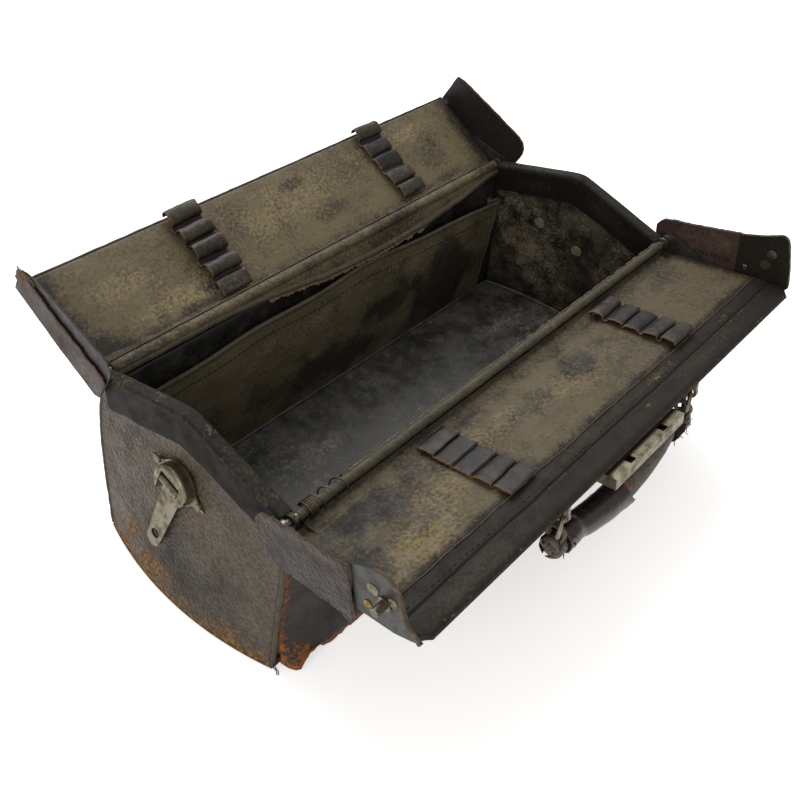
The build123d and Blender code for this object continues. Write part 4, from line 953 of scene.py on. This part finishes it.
def lid_shells():
    """The outer leather of both lids, turned up at the long edges."""
    for side, half, near, far, skin in (
        (REAR, REAR_HALF, -4.0, REAR_DEPTH, REAR_SKIN),
        (FRONT, FRONT_HALF, -2.0, FRONT_DEPTH, FRONT_SKIN),
    ):
        x, u = grid(np.linspace(-half, half, 140), np.linspace(near, far, 40))
        dent = relief(x, u, 50.0, side + 8.0) * 0.35
        turned = rise(u, far - 5, far) * 0.2
        x = x * (1 - CORNER_CUT * rise(u, far - 9, far) ** 2 / half)
        w = skin + 0.35 + dent * rise(far - u, 0, 8) * rise(u - near, 0, 8) + turned
        wear = 0.7 * rise(u, far - 4, far - 0.5) + 0.6 * rise(np.abs(x), half - 5, half)
        obj = sheet(f"{LID[side]}_leather", lid_point(side, x, u, w), 1.9, flip=side > 0, wear=wear)
        place(obj, LID[side], SHELL, "grained_leather", f"{LID[side]}_shell")


def lid_edge():
    """The rear lid's edge piping and the front lid's two-strip band."""
    x_line = np.linspace(-REAR_HALF, REAR_HALF, 180)
    path = lid_point(REAR, x_line, REAR_DEPTH + 1.3 + 0.35 * relief(x_line, 0, 40.0, 3.0), -10.6)
    radius = 1.35 + 0.15 * relief(x_line, 0, 8.0, 5.0)
    place(tube("rear_lid_bead", path, radius, 10), "rear_lid", STRAP, "piping_leather", "rear_lid_piping")

    top_near, fall = -8.6, 3.4 / (FRONT_DEPTH - FRONT_CREASE)
    section = [(u, top_near - fall * (u - FRONT_CREASE)) for u in np.linspace(FRONT_CREASE, 83.2, 10)]
    section += [(83.7, -10.6), (84.0, -11.0), (84.3, -10.8)]
    section += [(u, top_near - fall * (u - FRONT_CREASE)) for u in np.linspace(84.8, FRONT_DEPTH - 3.2, 12)]
    section += [(FRONT_DEPTH - 1.8, -12.1), (FRONT_DEPTH - 0.7, -12.7), (FRONT_DEPTH, -13.6), (FRONT_DEPTH, -14.3)]
    along, lift = np.array(section).T
    x, u = grid(np.linspace(-FRONT_HALF, FRONT_HALF, 200), along)
    sway = 0.5 * relief(x, 0, 60.0, 2.0) * rise(u, 76, 83) * (1 - rise(u, 86, 92))
    x = x * (1 - CORNER_CUT * rise(u, FRONT_DEPTH - 9, FRONT_DEPTH) ** 2 / FRONT_HALF)
    w = lift - 0.15 + relief(x, u, 26.0, 14.0) * 0.3 + relief(x, u, 7.0, 3.0) * 0.1
    u = u + sway
    outer = 0.5 * rise(u, FRONT_DEPTH - 3, FRONT_DEPTH) + 0.45 * np.exp(-((u - 85.2) / 1.2) ** 2)
    flecks = spots(
        x, u, [(-196, 78, 5, 3, 0.8), (60, 79, 34, 4, 0.55), (140, 80, 18, 4, 0.6), (20, 90, 9, 4, 0.6)], 9.0,
    )
    wear = np.clip(np.maximum(outer * (0.5 + 0.5 * relief(x, u, 20.0, 6.0)), flecks * 0.75), 0, 1)
    pale = spots(x, u, [(-150, 92, 50, 7, 0.6), (-20, 78, 70, 5, 0.5), (100, 90, 60, 6, 0.6)], 7.0)
    front, back = lid_point(FRONT, x, u, w), lid_point(FRONT, x, u, -14.4)
    obj = sheet("front_lid_band", front, back=back, flip=True, rim_out=0.02, wear=wear, pale=pale)
    place(obj, "front_lid", BAND, "band_leather", "front_lid_frame")
    x_seam = np.linspace(-FRONT_HALF + 4, FRONT_HALF - 4, 260)
    wave = 0.7 * relief(x_seam, 0, 30.0, 8.0)
    path = lid_point(FRONT, x_seam, 73.4 + wave, -8.5 + 0.2 * relief(x_seam, 0, 9.0, 3.0))
    place(tube("front_lid_seam", path, 0.5, 6), "front_lid", RIM, "lining_leather")
    path = lid_point(FRONT, x_seam, 81.0 + wave, -9.9)
    inward = (lid_point(FRONT, 0, 0, 1.0) - lid_point(FRONT, 0, 0, 0)) / MM
    place(stitches("band_stitches", path, inward, 2.8, 1.8, 0.28), "front_lid", THREAD, "thread")


def between(*pairs):
    """A line through points (u, w), read at any u."""
    at, value = np.array(pairs, float).T
    return lambda u: np.interp(u, at, value)


def flap(
    name, side, end, outer, thickness, low, high, span, material, slot, node=None, curl=0.0, ragged=0.5, masks=None,
):
    """A leather flap in the plane of a lid's end, its skin at outer from the middle.

    Its edges are uneven, and it curls a little outwards; low and high give w at u for its two long edges.
    """
    u_line = np.linspace(*span, 110)
    torn = relief(u_line, 0, 6.0, 3.0 + end) + 0.5 * relief(u_line, 0, 1.8, 8.0 + end)
    low_line = low(u_line) + (ragged if low(u_line).min() < -18 else 0.0) * torn
    high_line = high(u_line) + ragged * (relief(u_line, 0, 7.0, 13.0 + end) + 0.4 * torn)
    u, share = grid(u_line, np.linspace(0, 1, 34))
    w = low_line[:, None] + share * (high_line - low_line)[:, None]
    bend = curl * rise(w, 0.0, 30.0) + relief(u, w, 26.0, 5.0 + end) * 0.3
    x = end * (outer + np.clip(bend, -0.1, 1.6))
    data = masks(u, w) if masks else {}
    obj = sheet(name, lid_point(side, x, u, w), thickness, flip=side * end > 0, **data)
    place(obj, LID[side], material, slot, *([node] if node else []))


def rim(name, side, line, across, radius, material, seed):
    """A worn rolled edge along points (u, w) at one distance across the bag."""
    at = np.array(line, float)
    steps = np.concatenate([[0], np.cumsum(np.hypot(*np.diff(at, axis=0).T))])
    along = np.linspace(0, steps[-1], int(steps[-1] / 0.9) + 2)
    kernel = np.ones(5) / 5
    u, w = (np.convolve(np.pad(np.interp(along, steps, v), 2, "edge"), kernel, "valid") for v in at.T)
    x = across + 0.3 * relief(along, 0, 9.0, seed)
    size = radius * (1 + 0.3 * relief(along, 0, 5.0, seed + 2))
    obj = tube(name, lid_point(side, x, u, w), size, 8, pale=np.clip(relief(along, 0, 12.0, seed), 0, 1))
    place(obj, LID[side], material, "piping_leather")


def flaps():
    """Leather end flaps of both lids, and the leather that covers the front lid's end plates."""
    rear_low = between((-9, -9), (-5, -12.2), (76, -12.2))
    rear_high = between((-9.5, 19), (-7, 25), (-3, 28), (3, 28.8), (40, 24), (70, 19.5), (77.2, 17))
    left_high = between((-9.5, 19), (-7, 25), (-3, 28), (3, 28), (40, 21.5), (68, 14.5), (77.2, 8.5))
    worn_high = between((-9.5, 10), (-5, 14), (8, 12.5), (40, 10), (64, 9.5), (69, 11), (77.2, 8))

    def scuffed(u, w):
        top = 0.45 * rise(w, 8, 15) + spots(u, w, [(74, 8, 6, 14, 0.7), (60, 13, 10, 3, 0.7)], 2.0)
        return {"wear": np.clip(top, 0, 1), "pale": spots(u, w, [(6, 0, 26, 14, 0.7)], 3.0)}

    flap("rear_left_flap", REAR, LEFT, 205.3, 1.1, rear_low, worn_high, (-9, 77.2), BROWN, "grained_leather",
         "rear_lid_left_flange", 0.2, 1.0, scuffed)
    flap("rear_left_flap_lining", REAR, LEFT, 204.0, 0.7, rear_low, left_high, (-9, 77.0), FLAP_LINING, "band_leather",
         curl=-0.1)
    flap("rear_right_flap", REAR, RIGHT, 205.1, 1.1, rear_low, rear_high, (-9, 77.2), FLAP, "grained_leather",
         "rear_lid_right_flange", 0.0, 0.3)
    flap("rear_right_flap_lining", REAR, RIGHT, 204.0, 0.7, rear_low, rear_high, (-9, 77.0), FLAP_LINING,
         "band_leather", curl=0.5, ragged=0.3)
    rear_edge = [
        (-9.2, 4), (-9.2, 18), (-6.5, 25.5), (-2, 28.6), (4, 29), (40, 24.3), (70, 19.8), (77, 17.2), (77.2, 8),
    ]
    rim("rear_right_flap_rim", REAR, rear_edge, 205.1, 0.6, FRAYED, 2.0)
    tip = [(63, 10.5), (68, 11.4), (77, 8.4), (77.4, 3), (77, -6)]
    rim("rear_left_flap_rim", REAR, tip, -204.9, 0.8, FRAYED, 5.0)
    rng = np.random.default_rng(3)
    frays = []
    for _ in range(34):
        start = lid_point(REAR, -204.8, 70 + 8 * rng.random(), 8.2) / MM
        way = np.array([rng.uniform(-0.6, 0.3), rng.uniform(-0.4, 0.8), rng.uniform(-0.2, 0.5)])
        length = rng.uniform(1.0, 2.8)
        fray = [start + way * length * t - np.array([0, 0, 0.5 * t * t]) for t in (0, 0.4, 0.7, 1)]
        frays.append(np.array(fray) * MM)
    place(strands("rear_left_flap_frays", frays, 0.2, 4), "rear_lid", FRAYED, "thread")
    along, across = grid(np.linspace(0, 1, 12), np.linspace(0, 1, 10))
    tab_x = -205.9 - 0.3 * np.sin(pi * along)
    tab_u = 70.0 + 10.0 * along + 0.8 * relief(along * 8, across * 9, 3.0, 6.0)
    tab_w = -3.0 + across * 11.5 + 0.9 * relief(along * 14, across * 5, 2.5, 3.0)
    tab = sheet("rear_left_flap_tab", lid_point(REAR, tab_x, tab_u, tab_w), 0.8, flip=True, wear=0.5 * across)
    place(tab, "rear_lid", RIM, "grained_leather")

    torn = between((-12, -8), (-8, -16), (-2, -22), (10, -22), (30, -23), (48, -25), (55.6, -27))
    front_high = between((-12, 6), (-6, 12.5), (10, 14), (55.6, 14.2))

    def front_scuffs(u, w):
        wear = 0.35 * (1 - rise(w, -27, -21)) + spots(u, w, [(-10, 8, 6, 6, 0.8)], 1.0)
        return {"wear": np.clip(wear, 0, 1), "pale": spots(u, w, [(20, 10, 50, 4, 0.8)], 3.0)}

    flap("front_left_flap", FRONT, LEFT, 209.1, 1.8, torn, front_high, (-12, 55.6), FLAP, "grained_leather",
         "front_lid_left_flange", 0.2, 1.3, front_scuffs)
    plain = between((-12, -8), (-6, -16), (55.6, -16))
    right_high = between((-12.5, 8), (-9, 12), (-6, 14.6), (23, 16.6), (55.6, 19.6))
    flap("front_right_flap", FRONT, RIGHT, 209.1, 1.0, plain, right_high, (-12, 55.6), FLAP, "grained_leather",
         "front_lid_right_flange", 0.6, 0.4)
    flap("front_right_flap_lining", FRONT, RIGHT, 208.0, 0.8, plain, right_high, (-12, 55.4), RED_LINING,
         "band_leather", curl=0.6, ragged=0.4, masks=lambda u, w: {"pale": spots(u, w, [(30, 6, 24, 12, 0.7)], 2.0)})
    slits = []
    for k in range(13):
        u = 8.0 + 3.5 * k
        tilt = 0.5 * ((k * 7) % 3 - 1)
        slits.append(lid_point(FRONT, 207.1, np.array([u, u + tilt * 0.4, u + tilt]), np.array([-4.6, -3.4, -2.2])))
    place(strands("front_right_flap_slits", slits, 0.4), "front_lid", THREAD, "thread")

    corner = [
        (56.2, 19.8), (66, 21.6), (76, 23.8), (86.5, 27.4), (90, 26), (91.6, 23), (93.8, 12), (95.6, 2), (96.8, -11),
    ]
    cover_low = between((56.2, -7.6), (73, -8.2), (96.9, -11.6))
    flap("right_plate_leather", FRONT, RIGHT, 206.9, 0.6, cover_low, between(*corner), (56.0, 96.6), BAND,
         "band_leather", ragged=0.15)
    rim("right_plate_rim", FRONT, corner, 207.6, 0.8, FRAYED, 3.0)
    left_edge = [(71.5, 20.4), (77, 21), (81.6, 20.6), (87.4, 12.8), (90.6, -4.6), (94, -8.6), (98.6, -11.4), (97, -14)]
    rim("left_plate_rim", FRONT, left_edge, -208.0, 1.15, RIM, 4.0)


def loop_row(word, side, x_middle, half, first, pitch, surface, width, height, shapes):
    """A strap caught down between its loops; each shape is height share, lean, and shift along the bag."""
    foot = 1.4
    profile, shift = [], []
    for index, (share, lean, slide) in enumerate(shapes):
        centre = first + index * pitch
        top = max(height * share, 2.4)
        reach = width * (0.98 + 0.08 * (1 - share))
        for angle in np.linspace(205, -25, 17):
            c, r = cos(radians(angle)), (sin(radians(angle)) + 0.42) / 1.42
            lift = foot + (top - foot) * abs(r) ** 0.85
            tuck = 0.9 if r < 0.3 else 1.0
            out = centre + reach * tuck * np.sign(c) * abs(c) ** 0.85 + lean * max(r, 0) ** 1.5
            profile.append((out, surface + lift))
            shift.append(slide)
    x, index = grid(np.linspace(-half, half, 16), np.arange(len(profile)))
    base_u, base_w = np.array(profile)[index].transpose(2, 0, 1)
    seed = x_middle + side
    u = base_u + 0.6 * relief(x, base_u, 18.0, seed)
    high = rise(base_w, surface + 2, surface + 5)
    w = base_w + high * 0.6 * relief(x, base_u, 11.0, seed + 4)
    frayed = 0.9 * relief(base_u, 0, 4.5, seed + 9) * (np.abs(x) / half) ** 4
    points = lid_point(side, x_middle + x + (np.array(shift)[index] + frayed), u, w)
    # Painted shade low on each loop and a painted highlight on its top; the wear at the strap's cut edges is real.
    masks = {"wear": 0.9 * rise(np.abs(x), half - 1.0, half), "stain": 0.5 * (1 - high) + 0.2, "pale": 0.5 * high}
    obj = sheet(f"{word}_vial_loops", points, 1.2, flip=side < 0, **masks)
    place(obj, LID[side], STRAP, "strap_leather", f"{word}_loops", refined=True)


def loops():
    """Two straps of vial loops on each lid, some still round, some trodden flat."""
    loop_row("rear_left", REAR, -83.5, 12.8, 14.6, 14.7, -6.2, 6.0, 9.0,
             ((0.5, 1.5, 1.0), (0.9, -1.0, 0.6), (1.0, 0.4, 0.2), (0.9, -0.6, -0.2), (1.0, 0.6, -0.8)))
    loop_row("rear_right", REAR, 102.5, 12.6, 17.0, 14.1, -6.2, 5.8, 8.6,
             ((0.62, 1.6, 1.2), (0.55, -1.6, 0.4), (0.42, 1.4, -0.4), (0.5, -1.2, -1.6), (0.85, 0.6, -2.4)))
    loop_row("front_left", FRONT, -92, 12.8, 13.0, 14.0, -7.2, 6.4, 7.4,
             ((0.46, 2.0, 0), (0.3, 2.4, -0.6), (0.34, 2.0, -1.0), (0.5, 2.2, -0.4), (0.36, -1.5, 1.0)))
    loop_row("front_right", FRONT, 94, 12.8, 12.6, 14.0, -7.2, 6.2, 7.4,
             ((0.78, -0.8, 0), (0.6, 1.8, 0.6), (0.5, -1.6, 0.2), (0.66, 1.4, -0.4), (0.74, -1.0, 0)))


# Handle, in millimetres from its middle; the grip is thickest and hangs lowest there
COVER_END = -69.0
GRIP_HALF, GRIP_SWELL_HALF = 79.6, 57.0
GRIP_RADIUS, GRIP_SWELL = 6.1, 1.7
GRIP_BOW, GRIP_DROP = 3.5, 6.5


def grip_swell(x):
    """From 1 in the grip's middle to 0 where it stops swelling."""
    return np.clip(1 - (x / GRIP_SWELL_HALF) ** 2, 0, None)


def handle():
    """A stuffed grip: bare split leather on one half, a glossy torn cover on the other."""
    low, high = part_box("handle_core")
    middle_x = (low.x + high.x) / 2 / MM
    axis_y = (low.y + high.y) / 2 / MM
    ring_foot = (high.z / MM) - 5.2
    grip_z = ring_foot - 12.0
    x_line = np.linspace(-GRIP_HALF, GRIP_HALF, 120)
    share = grip_swell(x_line)
    z = grip_z - GRIP_DROP * share + 3.0 * rise(np.abs(x_line), 66, 79)
    sides = 18
    xs, angles = grid(x_line, np.linspace(0, 2 * pi, sides, endpoint=False))
    radius = (GRIP_RADIUS + GRIP_SWELL * share)[:, None] + 0.3 * relief(xs, angles * 6, 12.0, 4.0)
    pinch = 1 - 0.12 * np.exp(-((np.abs(x_line) - 64) / 5.0) ** 2)
    path = stack(middle_x + x_line, axis_y - GRIP_BOW * share, z)
    tabs = [tube("grip_core", path, radius * pinch[:, None], sides)]
    for hand in (LEFT, RIGHT):
        turns = np.linspace(-0.2 * pi, 1.2 * pi, 16)
        across = (middle_x + hand * 75 + np.linspace(-1.5, 1.5, 5))[:, None]
        y = np.concatenate([[axis_y + 3.4], axis_y + 4.6 * np.cos(turns), [axis_y - 3.4]])
        z = np.concatenate([[grip_z + 2], ring_foot + 4.6 * np.sin(turns), [grip_z + 2]])
        tabs.append(sheet(f"tab_{hand}", stack(across, y, z), 1.5))
    core = join("grip_core", tabs)
    place(core, "handle", GRIP_CORE, "handle_core", "handle_core")

    x, turn = grid(np.linspace(COVER_END, 0.0, 72), np.linspace(0, 2 * pi, 33))
    torn = 3.0 * relief(turn[0] * 6, 0, 7.0, 2.0) + 2.0 * np.sin(turn[0] * 2)
    torn[0] = torn[-1]
    reach = (x - COVER_END) / -COVER_END * (-COVER_END - 2.0 + torn) + COVER_END
    bow = grip_swell(reach)
    lift = 0.9 * rise(reach, -14, -2) * (0.5 + 0.5 * relief(turn * 4, reach, 9.0, 3.0))
    swell = 0.9 * (1 - rise(reach, -59, -52))
    r = GRIP_RADIUS + GRIP_SWELL * bow + 1.5 + swell + 0.2 * relief(reach, turn * 6, 10.0, 7.0) + lift
    y = axis_y - GRIP_BOW * bow + r * np.cos(turn)
    z = grip_z - GRIP_DROP * bow + r * np.sin(turn)
    cover = sheet("grip_cover", stack(middle_x + reach, y, z), 1.0, wear=0.9 * rise(reach, -9, -3))
    place(cover, "handle", GRIP_COVER, "handle_leather", "handle_cover")

    rng = np.random.default_rng(5)
    scraps = []
    for hand, count in ((LEFT, 9), (RIGHT, 7)):
        for k in range(count):
            start = 2 * pi * (k + rng.uniform(0, 0.5)) / count
            at, around = grid(np.linspace(0, 1, 7), np.linspace(start, start + rng.uniform(0.8, 1.5), 8))
            x = middle_x + hand * (70 + at * rng.uniform(10, 12))
            fold = rng.uniform(3.0, 6.0) * rise(at, 0.72, 1.0)
            r = 6.9 + 0.3 * np.sin(pi * at) - fold + 0.3 * relief(at * 8, around * 6, 5.0, k)
            points = stack(x, axis_y + r * np.cos(around), grip_z + 0.4 + 0.6 * at + r * np.sin(around))
            wear = (0.8 if k % 3 == 0 else 0.1) * at ** 4
            scraps.append(sheet(f"scrap_{hand}_{k}", points, 0.8, flip=hand < 0, wear=wear))
    place(join("grip_end_scraps", scraps), "handle", GRIP_COVER, "handle_leather")

    rng = np.random.default_rng(11)
    tufts = []
    for hand in (LEFT, RIGHT):
        for _ in range(60):
            angle = rng.uniform(0, 2 * pi)
            at = hand * rng.uniform(60, 76)
            start = np.array([middle_x + at, axis_y + 6.8 * cos(angle), grip_z + 1.0 + 6.8 * sin(angle)])
            way = np.array([
                hand * rng.uniform(-0.6, 1.0), cos(angle) + rng.uniform(-0.6, 0.6), sin(angle) + rng.uniform(-0.6, 0.6),
            ])
            length = rng.uniform(1.5, 4.5)
            bend = np.array([0, 0, -1.0]) * length * 0.35
            tufts.append(np.array([start + way * length * t + bend * t * t for t in (0, 0.35, 0.7, 1.0)]) * MM)
    place(strands("grip_thread_ends", tufts, 0.28, 4), "handle", THREAD, "thread")


def fastenings():
    """Rivets and washers on the end plates, and a small bright tab by the right one."""
    outer = abs(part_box("left_end_plate")[0].x) / MM
    washer = (206.6, 81.0, 10.4, LEFT)
    for name, material, studs in (
        ("end_plate_rivets", NICKEL, (
            (-outer, 70.4, 6.2, LEFT, 4.1, 1.0), (-outer, 83.0, 5.2, LEFT, 3.0, 1.0),
            (-outer, 72.0, -7.6, LEFT, 2.6, 0.9), (outer, 70.4, 6.2, RIGHT, 4.1, 1.0),
            (outer, 81.0, 12.0, RIGHT, 3.4, 1.0), (outer, 72.0, -9.0, RIGHT, 2.6, 1.0),
        )),
        ("right_plate_washer", NICKEL, ((*washer, 3.6, 0.3), (*washer, 1.9, 0.4))),
        ("small_rivet", BRASS, ((-outer, 65.8, -6.6, LEFT, 2.5, 1.4),)),
    ):
        made = [dome(name, lid_point(FRONT, x, u, w) / MM, (way, 0, 0), radius, height)
                for x, u, w, way, radius, height in studs]
        place(join(name, made), "front_lid", material, "nickel")
    u, w = grid(np.linspace(61.6, 64.8, 5), np.linspace(-7.4, -2.6, 5))
    place(sheet("right_flap_tab", lid_point(FRONT, 206.2, u, w), 0.6, flip=True), "front_lid", NICKEL, "nickel")


def cad_finishes():
    """Materials for the CAD nodes whose shape is right as it is."""
    for names, material in (
        (("left_clasp", "right_clasp", "left_hasp", "right_hasp", "hasp_pins", "hasp_studs",
          "lock_plate", "lock_case", "lock_bolt", "lock_staples", "handle_rings"), NICKEL),
        (("front_hinge_rod", "rear_hinge_rod", "left_gable_frame", "right_gable_frame", "front_hinge_plates",
          "rear_hinge_plates"), STEEL),
        (("clasp_rivets",), DULL),
        (("left_end_plate",), ENAMEL),
        (("right_end_plate",), BAND),
        (("base_board", "left_end_board", "right_end_board", "rear_lid_board", "front_lid_board"), BOARD),
        (("handle_windings",), THREAD),
        (("rod_binding",), WIRE),
    ):
        for name in names:
            NODES[name].data.materials.clear()
            NODES[name].data.materials.append(material)


def make_object_pieces():
    end_walls()
    side_walls()
    base_leather()
    corner_cords()
    gable_bands()
    inner_linings()
    pocket()
    rod_wraps()
    lid_pad(REAR, 200.8, 75.6, -8.8, -7.6, -6.2, rear_masks, 2.0)
    lid_pad(FRONT, 204.6, 72.7, -11.3, -9.2, -7.2, front_masks, 21.0)
    lid_shells()
    lid_edge()
    flaps()
    lining_lip()
    loops()
    handle()
    fastenings()
    cad_finishes()


make_camera()
make_studio()
make_object_pieces()

bpy.context.scene.view_settings.view_transform = "Standard"
bpy.context.view_layer.update()
